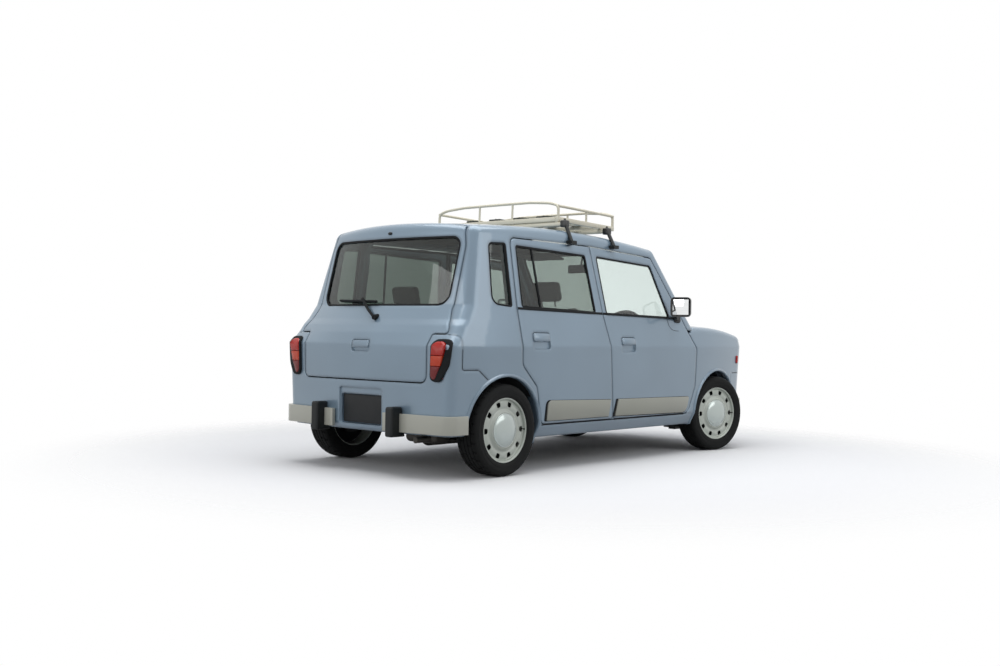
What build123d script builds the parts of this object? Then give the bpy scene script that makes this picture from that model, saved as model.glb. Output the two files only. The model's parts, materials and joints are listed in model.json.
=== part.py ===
"""Small five-door kei car with bumper bars and a roof rack, in millimetres.

+X forward, +Y left, +Z up; the origin lies on the ground, midway between the axles.
"""
import os
from collections import namedtuple
from math import cos, radians, sin, sqrt

from build123d import *

# ---------------------------------------------------------------- body shape
# One plan outline per height: half widths, the reach of the rear and front faces at the
# centre line, and how far each face falls back towards its corners.
Level = namedtuple(
    "Level", "z half straight_rear straight_front rear_x rear_bow rear_half "
    "front_x front_bow front_half rear_round front_round")
low_levels = [
    Level(205, 668, -1000, 760, -1618, 36, 650, 1660, 90, 600, 62, 170),
    Level(285, 713, -1000, 760, -1656, 36, 692, 1704, 90, 640, 62, 170),
    Level(750, 737, -1000, 760, -1662, 36, 716, 1712, 90, 664, 62, 170),
    Level(820, 725.1, -1000, 760, -1640, 78, 705, 1706, 90, 656, 62, 170),
    Level(865, 717.4, -1000, 742, -1612, 76, 698, 1698, 90, 649, 66, 170),
]
hood_levels = low_levels[:3] + [
    Level(985, 697, -1000, 760, -1537, 87, 680, 1676, 90, 624, 74, 170),
]
cabin_levels = [
    Level(865, 717.4, -1000, 742, -1612, 76, 698, 918, 69, 712, 66, 60),
    Level(900, 711.5, -1000, 690, -1587, 85, 692, 890, 69, 706, 68, 60),
    Level(985, 697, -1000, 640, -1537, 87, 680, 823, 67, 691, 74, 60),
    Level(1530, 612, -1000, 230, -1406, 84, 598, 392, 42, 607, 80, 60),
]
roof_crown = dict(x=-600, z=1507, long_radius=9000, cross_radius=5000, depth=1500, spread=24)
hood_crown = dict(x=900, z=925, long_radius=3290, cross_radius=6700, depth=900, spread=60)
roof_edge_round = 58
roof_edge_low = 1380
hood_edge_round = 46

# ---------------------------------------------------------------- wall build-up
skin = 22                 # body panel, outside to inside
jamb_out = 31             # door aperture flange, outer face
jamb_in = 62              # door aperture flange, inner face
door_in = 82              # inner face of a door below the glass
glass_out = 8
glass_in = 13
seam = 3                  # each side of a seam line, on the moving panel
seam_body = 4             # each side of a seam line, on the fixed panel
jamb_reach = 30           # how far a flange runs outside the seam
jamb_lap = 22             # how far a flange laps behind the door
box_inset = 34            # door box edge inside the seam
far = 2600                # longer than any panel

# ---------------------------------------------------------------- wheels and axles
axle_x = 1180
tyre_radius = 267
tyre_width = 164
wheel_y = 648             # tyre centre, out from the centre line
rim_radius = 190
rim_bead_radius = 178
kingpin_y = 600
rest_steer = -11          # the road wheels stand turned to the right
arch_radius = 306
arch_z = 268
spindle_radius = 15
running = 0.05            # radial running clearance

# ---------------------------------------------------------------- seam lines, side view
Corner = namedtuple("Corner", "x z round")
front_door_seam = [
    Corner(-118, 285, 26),
    Corner(772, 285, 74),
    Corner(849, 470, 60),
    Corner(846, 730, 60),
    Corner(742, 862, 40),
    Corner(640, 1012, 30),
    Corner(380, 1352, 40),
    Corner(-300, 1386, 8),
    Corner(-232, 951, 200),
    Corner(-183, 755, 300),
]
rear_door_seam = [
    Corner(-118, 285, 26),
    Corner(-183, 755, 300),
    Corner(-232, 951, 200),
    Corner(-300, 1386, 8),
    Corner(-1074, 1388, 40),
    Corner(-1070, 978, 200),
    Corner(-1046, 640, 60),
    Corner(-905, 511, 60),
    Corner(-848, 285, 34),
]
front_window = [
    Corner(-196, 956, 18),
    Corner(542, 944, 20),
    Corner(370, 1300, 36),
    Corner(-246, 1328, 20),
]
rear_window = [
    Corner(-302, 959, 18),
    Corner(-355, 1328, 18),
    Corner(-1032, 1348, 18),
    Corner(-1028, 979, 18),
]
quarter_window = [
    Corner(-1112, 1356, 18),
    Corner(-1108, 976, 18),
    Corner(-1284, 990, 60),
    Corner(-1262, 1350, 36),
]
rear_corner_seam = [
    Corner(-1900, 812, 0),
    Corner(-1549, 812, 40),
    Corner(-1545, 617, 14),
    Corner(-1417, 617, 20),
    Corner(-1330, 556, 0),
    Corner(-1330, 150, 0),
    Corner(-1900, 150, 0),
]
front_corner_seam = [
    Corner(2000, 555, 0),
    Corner(1400, 555, 0),
    Corner(1400, 150, 0),
    Corner(2000, 150, 0),
]
nose_x = 1585             # the nose panel lies ahead of this

# ---------------------------------------------------------------- seam lines, rear view
Side = namedtuple("Side", "y z round")
hatch_seam = [
    Side(-528, 541, 44),
    Side(-532, 816, 12),
    Side(-640, 816, 16),
    Side(-604, 880, 60),
    Side(-578, 950, 60),
    Side(-576, 1320, 90),
    Side(-545, 1440, 0),
    Side(-545, 1640, 0),
]
hatch_front_x = -1346
rear_glass = [
    Side(-543, 976, 76),
    Side(-543, 1382, 66),
]
windshield = [
    Side(-628, 932, 40),
    Side(-560, 1408, 60),
]
hood_half_rear = 628
hood_half_front = 560
hood_rear_x = 905
hood_front_x = 1652
clip_x = 500

front_grip = [
    Corner(-62, 716, 16),
    Corner(-62, 811, 18),
    Corner(92, 811, 18),
    Corner(92, 716, 16),
]
rear_grip = [
    Corner(-956, 733, 16),
    Corner(-956, 833, 18),
    Corner(-798, 833, 18),
    Corner(-798, 733, 16),
]
grip_depth = 13
hatch_grip = dict(half=76, low=708, high=777, corner=14)
fender_gap = 0.5          # the fenders stand this far off the door jamb
fender_root_x = 790
fender_root_z = 849
box_top_z = 930
sill_z = 283
fender_top_z = 865
glass_base_z = 932
rocker_front_x = 872
cowl_half = 628
cowl_front_x = 901
cowl_thick = 14
roof_half = 560
roof_base_z = 1380
deck_z = 240              # cabin floor, upper face
deck_thick = 15
load_z = 445              # load floor, upper face
step_x = -860
firewall_x = 851          # front face
firewall_top_z = 866

# ---------------------------------------------------------------- nose and tail fittings
lamp_front = dict(y=-486, z=688, radius=86)
grille = dict(half=330, low=622, high=742, corner=26)
intake = dict(half=250, low=330, high=430, corner=30)
tail_lamp = dict(y_low=-652, y_high=-577, z_low=555, z_high=780, corner=34)
plate_surround = dict(half=196, low=268, high=506, corner=26)
plate_pocket = dict(half=176, low=280, high=456, corner=14)
pocket_depth = 40
pocket_back = 60
lens_depth = 26
lens_proud = 5
bar_gap = 5
bar_thick = 22
bar_low = 258
bar_high = 362
bar_inner_y = 218
bar_rear_x = -1500
bar_front_x = 1500
overrider = dict(y=324, half=29, low=230, high=400, reach=1735)

# ---------------------------------------------------------------- rack sizes
rack_rear = -494
rack_front = 106
rack_half = 534
rack_tilt = 1.8
tray_low = 1538
tray_high = 1568
tray_beam = 28
rail_z = 1636
rail_radius = 9
post_radius = 7
board_rear = -388
board_front = 10
board_wide = 100
board_low = 1568
board_high = 1586
CrossBar = namedtuple("CrossBar", "x low clamp_x")
cross_bars = [
    CrossBar(-478, 1508.5, -508),
    CrossBar(-30, 1494, -60),
]

# ---------------------------------------------------------------- wheel sections
# radius, then distance out from the tyre's middle plane
tyre_section = [(178, 62), (190, 66), (192, 75), (206, 79), (225, 82), (248, 80), (260, 73), (267, 58)]
tyre_cavity = [(178, 52), (196, 60), (225, 68), (246, 66), (254, 54)]
rim_section = [
    (98, -67), (104, -64), (124, -50), (142, -54), (170, -50), (176, -70), (190, -70), (190, -66), (178, -62),
    (178, 62), (190, 66), (190, 70), (176, 70), (172, 64), (172, -30), (168, -42), (142, -46), (118, -42),
    (98, -56), (40, -56), (40, -6), (15.05, -6), (15.05, -68), (0, -68), (0, -82),
]
cap_middle = (62, -77)
vent_pcr = 154
vent_count = 10
drum_radius = 100
wheel_house_radius = 318

# ---------------------------------------------------------------- mirrors
mirror_x = 545
mirror_y = -812
mirror_z = 1024
mirror_depth = 82
mirror_wide = 170
mirror_tall = 132
mirror_round = 30


def outline(level, inset):
    """Plan outline of one level, every wall moved in by inset."""
    half = level.half - inset
    rear_x = level.rear_x + inset
    rear_y = level.rear_half - inset
    front_x = level.front_x - inset
    front_y = level.front_half - inset
    rear_corner = (rear_x + level.rear_bow, rear_y)
    front_corner = (front_x - level.front_bow, front_y)
    side_rear = (level.straight_rear, half)
    side_front = (level.straight_front, half)
    with BuildSketch(Plane.XY.offset(level.z), mode=Mode.PRIVATE) as sketch:
        with BuildLine():
            with BuildLine():
                TangentArc(side_rear, rear_corner, tangent=(-1, 0))
                Line(side_rear, side_front)
                TangentArc(side_front, front_corner, tangent=(1, 0))
                mirror(about=Plane.XZ)
            ThreePointArc(rear_corner, (rear_x, 0), (rear_corner[0], -rear_y))
            ThreePointArc(front_corner, (front_x, 0), (front_corner[0], -front_y))
        make_face()
        corners = sketch.vertices().sort_by(Axis.X)
        smallest = 8
        fillet(corners[:2], max(level.rear_round - inset, smallest))
        fillet(sketch.vertices().sort_by(Axis.X)[-2:], max(level.front_round - inset, smallest))
    return sketch.sketch.face()


def stack(levels, inset):
    """Solid between the plan outlines."""
    with BuildPart(mode=Mode.PRIVATE) as body:
        loft(sections=[outline(level, inset) for level in levels], ruled=True)
    return body.part


def crowned(crown, inset):
    """Block with a top that is arched both along and across the car."""
    top = crown["z"] - inset
    half = 1000
    drop = half * half / (2 * crown["cross_radius"])
    with BuildPart(mode=Mode.PRIVATE) as body:
        with BuildSketch(Plane.YZ.offset(crown["x"])):
            with BuildLine():
                Polyline((-half, top - drop), (-half, top - crown["depth"]), (half, top - crown["depth"]),
                         (half, top - drop))
                ThreePointArc((-half, top - drop), (0, top), (half, top - drop))
            make_face()
        hub = Axis((crown["x"], 0, crown["z"] - crown["long_radius"]), (0, 1, 0))
        revolve(axis=hub, revolution_arc=crown["spread"])
    return body.part.rotate(hub, -crown["spread"] / 2)



def side_prism(corners, grow=0, low=300, high=900, windows=False):
    """Prism across the right-hand side of the car, through a seam line grown by grow."""
    with BuildPart(mode=Mode.PRIVATE) as block:
        with BuildSketch(Plane.XZ.offset(low)) as sketch:
            with BuildLine():
                Polyline([(corner.x, corner.z) for corner in corners], close=True)
            make_face()
            for corner in corners:
                if corner.round:
                    near = sketch.vertices().sort_by_distance((corner.x, corner.z, 0))[0]
                    fillet(near, corner.round)
            if grow:
                offset(amount=grow, kind=Kind.INTERSECTION)
        extrude(amount=high - low)
    return block.part


def rear_prism(sides, grow=0, low_x=-2000, high_x=-1200):
    """Prism along the car through a half outline in rear view, mirrored to both sides."""
    with BuildPart(mode=Mode.PRIVATE) as block:
        with BuildSketch(Plane.YZ.offset(low_x)) as sketch:
            with BuildLine():
                points = [(side.y, side.z) for side in sides]
                Polyline(points + [(-y, z) for y, z in reversed(points)], close=True)
            make_face()
            for side in sides:
                if side.round:
                    for way in (side.y, -side.y):
                        near = sketch.vertices().sort_by_distance((way, side.z, 0))[0]
                        fillet(near, side.round)
            if grow:
                offset(amount=grow, kind=Kind.INTERSECTION)
        extrude(amount=high_x - low_x)
    return block.part


def block(low, high):
    """Plain box between two corners."""
    size = [b - a for a, b in zip(low, high)]
    centre = [(a + b) / 2 for a, b in zip(low, high)]
    return Pos(*centre) * Box(*size, mode=Mode.PRIVATE)


def rounded(solid, radius):
    """The same solid with every edge rounded."""
    return solid.fillet(radius, solid.edges())


def rod(start, end, radius):
    """Round bar between two points."""
    path = Vector(*end) - Vector(*start)
    plane = Plane(origin=start, z_dir=path)
    solid = Cylinder(radius, path.length, align=(Align.CENTER, Align.CENTER, Align.MIN), mode=Mode.PRIVATE)
    return plane * solid


def left_of(part):
    """The same part on the other side of the car."""
    return part.mirror(Plane.XZ)


def wheel_arch(x, radius, low=480, high=900):
    """Cylinder across the right-hand side at a wheel."""
    solid = Cylinder(radius, high - low, mode=Mode.PRIVATE)
    return Pos(x, -(low + high) / 2, arch_z) * Rot(90, 0, 0) * solid


# ---------------------------------------------------------------- envelopes
def glasshouse(inset):
    """Upper part of the cabin, every wall moved in by inset."""
    top = stack(cabin_levels, inset) & crowned(roof_crown, inset)
    if roof_edge_round - inset > 20:
        rim = [edge for edge in top.edges() if edge.center().Z > roof_edge_low - inset]
        top = top.fillet(roof_edge_round - inset, rim)
    return top


def cabin(inset):
    """Closed cabin and tail, every wall moved in by inset."""
    return stack(low_levels, inset) + glasshouse(inset)


def front_clip(inset):
    """Hood, fenders and nose in one block, every wall moved in by inset."""
    solid = stack(hood_levels, inset) & crowned(hood_crown, inset)
    solid = solid & block((clip_x, -far, 0), (far, far, far))
    top = solid.faces().sort_by(Axis.Z)[-1]
    rim = [edge for edge in top.edges() if edge.center().X > clip_x + 1]
    return solid.fillet(max(hood_edge_round - inset, 16), rim)


def plan_prism(points, grow, low, high):
    """Upright prism through a half plan outline, mirrored to both sides."""
    with BuildPart(mode=Mode.PRIVATE) as solid:
        with BuildSketch(Plane.XY.offset(low)):
            with BuildLine():
                half = [(x, y) for x, y in points]
                Polyline(half + [(x, -y) for x, y in reversed(half)], close=True)
            make_face()
            offset(amount=grow, kind=Kind.INTERSECTION)
        extrude(amount=high - low)
    return solid.part


def nose_box(y_low, y_high, z_low, z_high, corner):
    """Rounded prism along the car at the nose, on the right-hand side."""
    with BuildPart(mode=Mode.PRIVATE) as solid:
        with BuildSketch(Plane.YZ.offset(1400)):
            with Locations(((y_low + y_high) / 2, (z_low + z_high) / 2)):
                RectangleRounded(y_high - y_low, z_high - z_low, corner)
        extrude(amount=500)
    return solid.part


def tail_box(y_low, y_high, z_low, z_high, corner, grow=0):
    """Rounded prism along the car at the tail."""
    with BuildPart(mode=Mode.PRIVATE) as solid:
        with BuildSketch(Plane.YZ.offset(-1900)):
            with Locations(((y_low + y_high) / 2, (z_low + z_high) / 2)):
                RectangleRounded(y_high - y_low + 2 * grow, z_high - z_low + 2 * grow, corner + grow)
        extrude(amount=400)
    return solid.part


parts = {}


def keep(name, shape):
    """Store one sub-part under its file name."""
    shape.label = name
    parts[name] = shape


def both(name, right):
    """Store a right-hand sub-part and its mirror image."""
    keep(name + "_right", right)
    keep(name + "_left", left_of(right))


def group(name, shapes):
    """Store several solids that don't touch as one sub-part."""
    keep(name, Compound(children=[solid for shape in shapes for solid in shape.solids()]))


def pair(name, right):
    """Store a right-hand piece and its mirror image as one sub-part."""
    group(name, [right, left_of(right)])


def glazing(zone):
    """Window pane that fills the hole which the zone cuts."""
    return (glass_skin & zone) - glass_core


outer = cabin(0)
inside_skin = cabin(skin)
inside_jamb = cabin(jamb_in)
inside_door = cabin(door_in)
panel_wall = outer - inside_skin
ring_wall = inside_skin - inside_jamb
lap_wall = cabin(jamb_out) - inside_jamb
box_wall = inside_skin - inside_door
glass_skin = stack(cabin_levels, glass_out)
glass_core = stack(cabin_levels, glass_in)
clip_outer = front_clip(0)
clip_wall = clip_outer - front_clip(skin)
right_half = block((-far, -far, 0), (far, 0, far))

# ---------------------------------------------------------------- doors
front_cut = side_prism(front_door_seam, seam_body)
rear_cut = side_prism(rear_door_seam, seam_body)


def door(seam_line, window):
    """Right-hand door: full panel, thicker box below the glass, window cut through."""
    leaf = panel_wall & side_prism(seam_line, -seam)
    box = box_wall & side_prism(seam_line, -box_inset) & block((-far, -far, 0), (far, 0, box_top_z))
    return leaf + box - side_prism(window)


front_door = door(front_door_seam, front_window)
rear_door = door(rear_door_seam, rear_window)
both("front_door_glass", glazing(side_prism(front_window)))
both("rear_door_glass", glazing(side_prism(rear_window)))
low_body = stack(low_levels, 0)
grip_wall = low_body - stack(low_levels, grip_depth)
both("front_door", front_door - (grip_wall & side_prism(front_grip)))
both("rear_door", rear_door - (grip_wall & side_prism(rear_grip)))

# door mirrors
with BuildPart() as mirror_head:
    with Locations((mirror_x, mirror_y, mirror_z)):
        Box(mirror_depth, mirror_wide, mirror_tall)
    fillet(mirror_head.edges(), mirror_round)
mirror_arm = rod((mirror_x + 20, mirror_y + 30, mirror_z - 40), (mirror_x + 92, -680, mirror_z - 76), 15)
door_mirror = mirror_head.part + (mirror_arm - outer)
both("door_mirror", door_mirror)

# ---------------------------------------------------------------- side frames
door_zone = side_prism(front_door_seam, jamb_reach) + side_prism(rear_door_seam, jamb_reach)
frame = panel_wall & right_half
frame = frame - block((640, -far, sill_z), (far, far, fender_top_z))
frame = frame - block((rocker_front_x, -far, 0), (far, far, sill_z))
frame = frame - block((700, -cowl_half, fender_top_z), (far, cowl_half, glass_base_z))
frame = frame + (ring_wall & door_zone) + (lap_wall & door_zone)
frame = frame + (ring_wall & block((-870, -far, 0), (rocker_front_x, 0, sill_z)))
frame = frame - front_cut - rear_cut
frame = frame - rear_prism(hatch_seam, seam_body, -2000, hatch_front_x + seam_body)
frame = frame - block((-2000, -roof_half, roof_base_z), (far, roof_half, far))
frame = frame - rear_prism(windshield, 0, 300, 1100) - side_prism(quarter_window)
tail_zone = side_prism(rear_corner_seam, 0, 0)
lamp_zone = tail_box(tail_lamp["y_low"], tail_lamp["y_high"], tail_lamp["z_low"], tail_lamp["z_high"],
                     tail_lamp["corner"])
rear_arch = wheel_arch(-axle_x, arch_radius)
front_arch = wheel_arch(axle_x - 12, arch_radius)
frame = frame - tail_zone - rear_arch - lamp_zone
frame = frame - block((-2000, -cowl_half, 0), (-1200, 0, load_z + 90))
both("side_frame", frame)
pair("quarter_windows", glazing(side_prism(quarter_window)))
keep("windshield", glazing(rear_prism(windshield, 0, 300, 1100)))

# ---------------------------------------------------------------- roof
roof_zone = block((hatch_front_x + seam_body, -roof_half, roof_base_z), (far, roof_half, far))
bows = block((hatch_front_x + seam_body, -roof_half, 1400), (-1290, roof_half, far))
bows = bows + block((-370, -roof_half, 1400), (-310, roof_half, far))
roof = (panel_wall & roof_zone) + ((ring_wall & bows) & roof_zone)
keep("roof_panel", roof - rear_prism(windshield, 0, 300, 1100))

# ---------------------------------------------------------------- hatch
tail_side = block((-2000, -far, 0), (hatch_front_x - seam, far, far))
hatch = (panel_wall & rear_prism(hatch_seam, -seam, -2000, hatch_front_x - seam))
hatch_box = ring_wall & rear_prism(hatch_seam, -box_inset, -2000, hatch_front_x - box_inset)
hatch = hatch + (hatch_box & block((-2000, -far, 0), (0, far, box_top_z)))
hatch = hatch - rear_prism(rear_glass, 0, -2000, -1300)
keep("hatch", hatch - (grip_wall & tail_box(
    -hatch_grip["half"], hatch_grip["half"], hatch_grip["low"], hatch_grip["high"], hatch_grip["corner"])))
keep("hatch_glass", glazing(rear_prism(rear_glass, 0, -2000, -1300)))

# ---------------------------------------------------------------- hood, fenders, nose
hood_plan = [(hood_rear_x, -620), (1500, -530), (hood_front_x, -440)]
hood_zone = plan_prism(hood_plan, -seam, 700, 1000)
hood_hole = plan_prism(hood_plan, seam_body, 700, 1000)
keep("hood", clip_wall & hood_zone)
fascia_zone = side_prism(front_corner_seam, 0, 0) + block((nose_x, -far, 0), (far, far, far))
pillar_foot = stack(cabin_levels, 0)
fender_wall = clip_outer - front_clip(skin - fender_gap)
pillar_root = block((700, -far, fender_root_z), (fender_root_x, 0, fender_top_z + seam))
fender = fender_wall & block((640, -far, sill_z), (far, 0, far)) - pillar_root
fender = fender - front_cut - hood_hole - fascia_zone - front_arch - pillar_foot
fender = fender - block((0, -cowl_half, 0), (hood_rear_x + seam_body, cowl_half, far))
both("front_fender", fender)
lamp_hole = Pos(1500, lamp_front["y"], lamp_front["z"]) * Rot(0, 90, 0) * Cylinder(
    lamp_front["radius"], 700, mode=Mode.PRIVATE)
fascia_half = clip_wall & fascia_zone & right_half
fascia_half = fascia_half - hood_hole - front_arch - lamp_hole
fascia = fascia_half + left_of(fascia_half)
grille_hole = nose_box(-grille["half"], grille["half"], grille["low"], grille["high"], grille["corner"])
intake_hole = nose_box(-intake["half"], intake["half"], intake["low"], intake["high"], intake["corner"])
fascia = fascia - grille_hole - intake_hole
keep("front_bumper", fascia)
pair("headlights", (clip_wall & lamp_hole & block((nose_x, -far, 0), (far, 0, far))) - hood_hole)
grille_wall = front_clip(glass_out) - front_clip(skin)
slots = [block((1400, -grille["half"] + 14, z), (far, grille["half"] - 14, z + 16)) for z in (640, 668, 696)]
slats = [block((1400, -intake["half"] + 14, z), (far, intake["half"] - 14, z + 18)) for z in (346, 374, 402)]
keep("grille", (grille_wall & (grille_hole + intake_hole)) - slots - slats)

# ---------------------------------------------------------------- tail
tail = panel_wall & tail_zone
pocket_wall = (stack(low_levels, skin) - stack(low_levels, pocket_back)) & right_half
tail = tail + (pocket_wall & tail_box(
    -plate_surround["half"], plate_surround["half"], plate_surround["low"], plate_surround["high"],
    plate_surround["corner"]))
pocket = (low_body - stack(low_levels, pocket_depth)) & tail_box(
    -plate_pocket["half"], plate_pocket["half"], plate_pocket["low"], plate_pocket["high"], plate_pocket["corner"])
surround = (low_body - stack(low_levels, 10)) & tail_box(
    -plate_surround["half"] + 12, plate_surround["half"] - 12, plate_surround["low"] + 12,
    plate_surround["high"] - 12, plate_surround["corner"] - 12)
tail = tail - rear_prism(hatch_seam, seam_body, -2000, -1200) - rear_arch - lamp_zone - pocket - surround
tail = tail - block((-2000, -far, 0), (0, far, 246))
keep("rear_bumper", tail + left_of(tail))
pair("tail_lamps", (stack(low_levels, -lens_proud) - inside_skin) & lamp_zone)

# ---------------------------------------------------------------- bumper bars
bar_level = low_levels[1]
bar_sweep = stack([bar_level._replace(z=bar_low), bar_level._replace(z=bar_high)], -(bar_gap + bar_thick))
bar_sweep = bar_sweep - stack([bar_level._replace(z=bar_low), bar_level._replace(z=bar_high)], -bar_gap)
bar_sweep = bar_sweep & right_half
bars = []
horns = []
for end, x_edge, x_far in (("rear", bar_rear_x, -far), ("front", bar_front_x, far)):
    bar = bar_sweep & block((min(x_edge, x_far), -far, 0), (max(x_edge, x_far), -bar_inner_y, far))
    sign = 1 if x_far > 0 else -1
    near = sign * 1500
    reach = sign * overrider["reach"]
    horn = block((min(near, reach), -overrider["y"] - overrider["half"], overrider["low"]),
                 (max(near, reach), -overrider["y"] + overrider["half"], overrider["high"]))
    horn = horn.fillet(14, [edge for edge in horn.edges() if abs(edge.center().X) > 1700])
    horn = horn - low_body
    stay_x = sign * 1560
    stay = block((stay_x - 30, -800, 290), (stay_x + 30, -600, 330)) & stack([bar_level._replace(z=280), bar_level._replace(z=340)], -(bar_gap + 2))
    stay = stay - low_body
    bars.append(bar - horn + stay)
    horns.append(horn)
group("bumper_bars", bars + [left_of(bar) for bar in bars])
group("overriders", horns + [left_of(horn) for horn in horns])

# ---------------------------------------------------------------- floor, load floor, wheel houses
room = cabin(jamb_in)
cowl_strip = (outer - inside_door) & block((700, -cowl_half, fender_top_z), (930, cowl_half, glass_base_z))
floor = room & block((step_x, -far, deck_z - deck_thick), (firewall_x - 15, far, deck_z))
floor = floor + (room & block((step_x - 15, -far, deck_z - deck_thick), (step_x, far, load_z)))
load_floor = room & block((-1590, -far, load_z - deck_thick), (step_x, far, load_z))
tail_plate = (cabin(pocket_back) - cabin(pocket_back + 16)) & block((-2000, -600, 345), (-1500, 600, 536))
floor = floor + load_floor + tail_plate
house = wheel_arch(-axle_x, wheel_house_radius + 12, 500, 800) - wheel_arch(-axle_x, wheel_house_radius, 514, 800)
house = house & inside_skin & block((-2000, -far, 320), (0, far, far))
house_core = wheel_arch(-axle_x, wheel_house_radius + 6, 506, 800)
floor = floor - house_core - left_of(house_core) + house + left_of(house)
frames = parts["side_frame_right"] + parts["side_frame_left"]
keep("floor_pan", floor - parts["side_frame_right"] - parts["side_frame_left"] - parts["rear_bumper"])
firewall = room & block((firewall_x - 15, -far, deck_z - deck_thick), (firewall_x, far, firewall_top_z))
plenum = (clip_outer - front_clip(cowl_thick)) & block((740, -cowl_half, 840), (cowl_front_x, cowl_half, far))
plenum = plenum - stack(cabin_levels, 0)
keep("firewall", firewall + cowl_strip + plenum - parts["side_frame_right"] - parts["side_frame_left"])

# ---------------------------------------------------------------- running gear
with BuildPart() as tyre:
    for section, mode in ((tyre_section, Mode.ADD), (tyre_cavity, Mode.SUBTRACT)):
        with BuildSketch(Plane.XY):
            with BuildLine():
                Polyline(section + [(r, -y) for r, y in reversed(section)], close=True)
            make_face()
        revolve(axis=Axis.Y, mode=mode)
with BuildPart() as rim:
    with BuildSketch(Plane.XY):
        with BuildLine():
            Polyline(rim_section)
            ThreePointArc(rim_section[-1], cap_middle, rim_section[0])
        make_face()
    revolve(axis=Axis.Y)
    with BuildSketch(Plane.XZ.offset(30)):
        with PolarLocations(vent_pcr, vent_count, start_angle=10):
            Trapezoid(26, 18, 74, rotation=-90)
    extrude(amount=60, mode=Mode.SUBTRACT)
carrier = Pos(0, 26, 0) * Rot(90, 0, 0) * Cylinder(drum_radius, 44, mode=Mode.PRIVATE)
carrier = carrier + (Pos(0, -8, 0) * Rot(90, 0, 0) * Cylinder(spindle_radius, 72, mode=Mode.PRIVATE))
kingpin = Pos(0, 48, 0) * Cylinder(14, 236, mode=Mode.PRIVATE)
knuckle = carrier + (Pos(0, 48, 0) * Box(48, 40, 190, mode=Mode.PRIVATE)) + kingpin


def steered(shape, side):
    """Place a right-hand front wheel part, turned about its kingpin."""
    if side < 0:
        return Pos(axle_x, -kingpin_y, tyre_radius) * Rot(0, 0, rest_steer) * Pos(0, kingpin_y - wheel_y, 0) * shape
    right = Pos(axle_x, -kingpin_y, tyre_radius) * Rot(0, 0, -rest_steer) * Pos(0, kingpin_y - wheel_y, 0) * shape
    return left_of(right)


for name, shape in (("tyre", tyre.part), ("rim", rim.part)):
    rear = Pos(-axle_x, -wheel_y, tyre_radius) * shape
    keep(f"rear_{name}_right", rear)
    keep(f"rear_{name}_left", left_of(rear))
    keep(f"front_{name}_right", steered(shape, -1))
    keep(f"front_{name}_left", steered(shape, 1))
keep("knuckle_right", steered(knuckle, -1))
keep("knuckle_left", steered(knuckle, 1))

bore = Pos(axle_x, -kingpin_y, 0) * Cylinder(14 + running, 1600, mode=Mode.PRIVATE)
arm = block((axle_x - 24, -624, 150), (axle_x + 24, -320, 165)) + block((axle_x - 150, -400, 150), (axle_x + 150, -345, 165))
post = block((axle_x - 24, -624, 368), (axle_x + 24, -500, 382))
post = post + rod((axle_x, -524, 376), (axle_x, -440, 790), 22)
arm = arm - bore
post = post - bore
rail = block((firewall_x, -385, 300), (1640, -330, 380)) + block((axle_x - 60, -385, 130), (axle_x + 60, -330, 310))
rail = rail + block((axle_x - 140, -392, 380), (axle_x + 140, -378, 804)) + block((axle_x - 110, -540, 790), (axle_x + 110, -378, 804))
rail = rail - arm
nose_beam = block((1630, -560, 300), (far, 560, 420)) & (stack(low_levels, skin))
chassis = rail + left_of(rail) + nose_beam
keep("front_chassis", chassis - intake_hole)
group("front_suspension", [arm, post - rail, left_of(arm), left_of(post - rail)])
beam = rod((-axle_x, -600, tyre_radius), (-axle_x, 600, tyre_radius), 26)
hub_seat = Pos(-axle_x, -wheel_y, tyre_radius) * carrier
trail = block((-axle_x - 30, -500, 236), (step_x - 15, -460, 290))
axle = beam + hub_seat + left_of(hub_seat) + trail + left_of(trail)
coil = rod((-axle_x, -430, tyre_radius), (-axle_x, -430, load_z - deck_thick), 40)
keep("rear_axle", axle + coil + left_of(coil))
keep("engine", block((950, -330, 245), (1480, 330, 760)))
keep("fuel_tank", block((-760, -250, 160), (-240, 330, deck_z - deck_thick)))
with BuildPart() as exhaust:
    with BuildLine(Plane.XZ.offset(300)) as run:
        FilletPolyline((980, 245), (980, 180), (-1400, 180), (-1470, 250), radius=50)
    with BuildSketch(Plane(origin=run.line @ 0, z_dir=run.line % 0)):
        Circle(20)
    sweep()
    with Locations((-1485, -395, 255)):
        muffler = Box(150, 240, 120, mode=Mode.PRIVATE)
    add(rounded(muffler, 30))
    with Locations((-1485, -395, 360)):
        Box(20, 30, 2 * (load_z - deck_thick - 360))
keep("exhaust", exhaust.part + rod((-1520, -478, 224), (-1668, -478, 222), 18))

# ---------------------------------------------------------------- cabin fittings
dash = room & block((600, -618, 640), (firewall_x - 15, 618, 850))
keep("dashboard", dash - parts["side_frame_right"] - parts["side_frame_left"])
seat_row = []
for y in (-325, 325):
    base = block((-80, y - 200, deck_z), (330, y + 200, 400))
    cushion = block((-120, y - 245, 400), (380, y + 245, 540))
    back = Plane(origin=(-110, y, 500), z_dir=(-sin(radians(16)), 0, cos(radians(16)))) * Box(
        120, 470, 560, align=(Align.MAX, Align.CENTER, Align.MIN), mode=Mode.PRIVATE)
    rest = Plane(origin=(-110, y, 500), z_dir=(-sin(radians(16)), 0, cos(radians(16)))) * Pos(-60, 0, 640) * Box(
        90, 260, 170, mode=Mode.PRIVATE)
    seat_row.append(base + cushion + back + rest)
bench = block((step_x + 10, -560, deck_z), (-440, 560, 520))
bench_back = Plane(origin=(-850, 0, 400), z_dir=(-sin(radians(14)), 0, cos(radians(14)))) * Box(
    110, 980, 560, align=(Align.MAX, Align.CENTER, Align.MIN), mode=Mode.PRIVATE)
bench_back = bench_back - block((-2000, -far, 0), (0, far, load_z))
group("seats", seat_row + [bench + bench_back])
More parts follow.
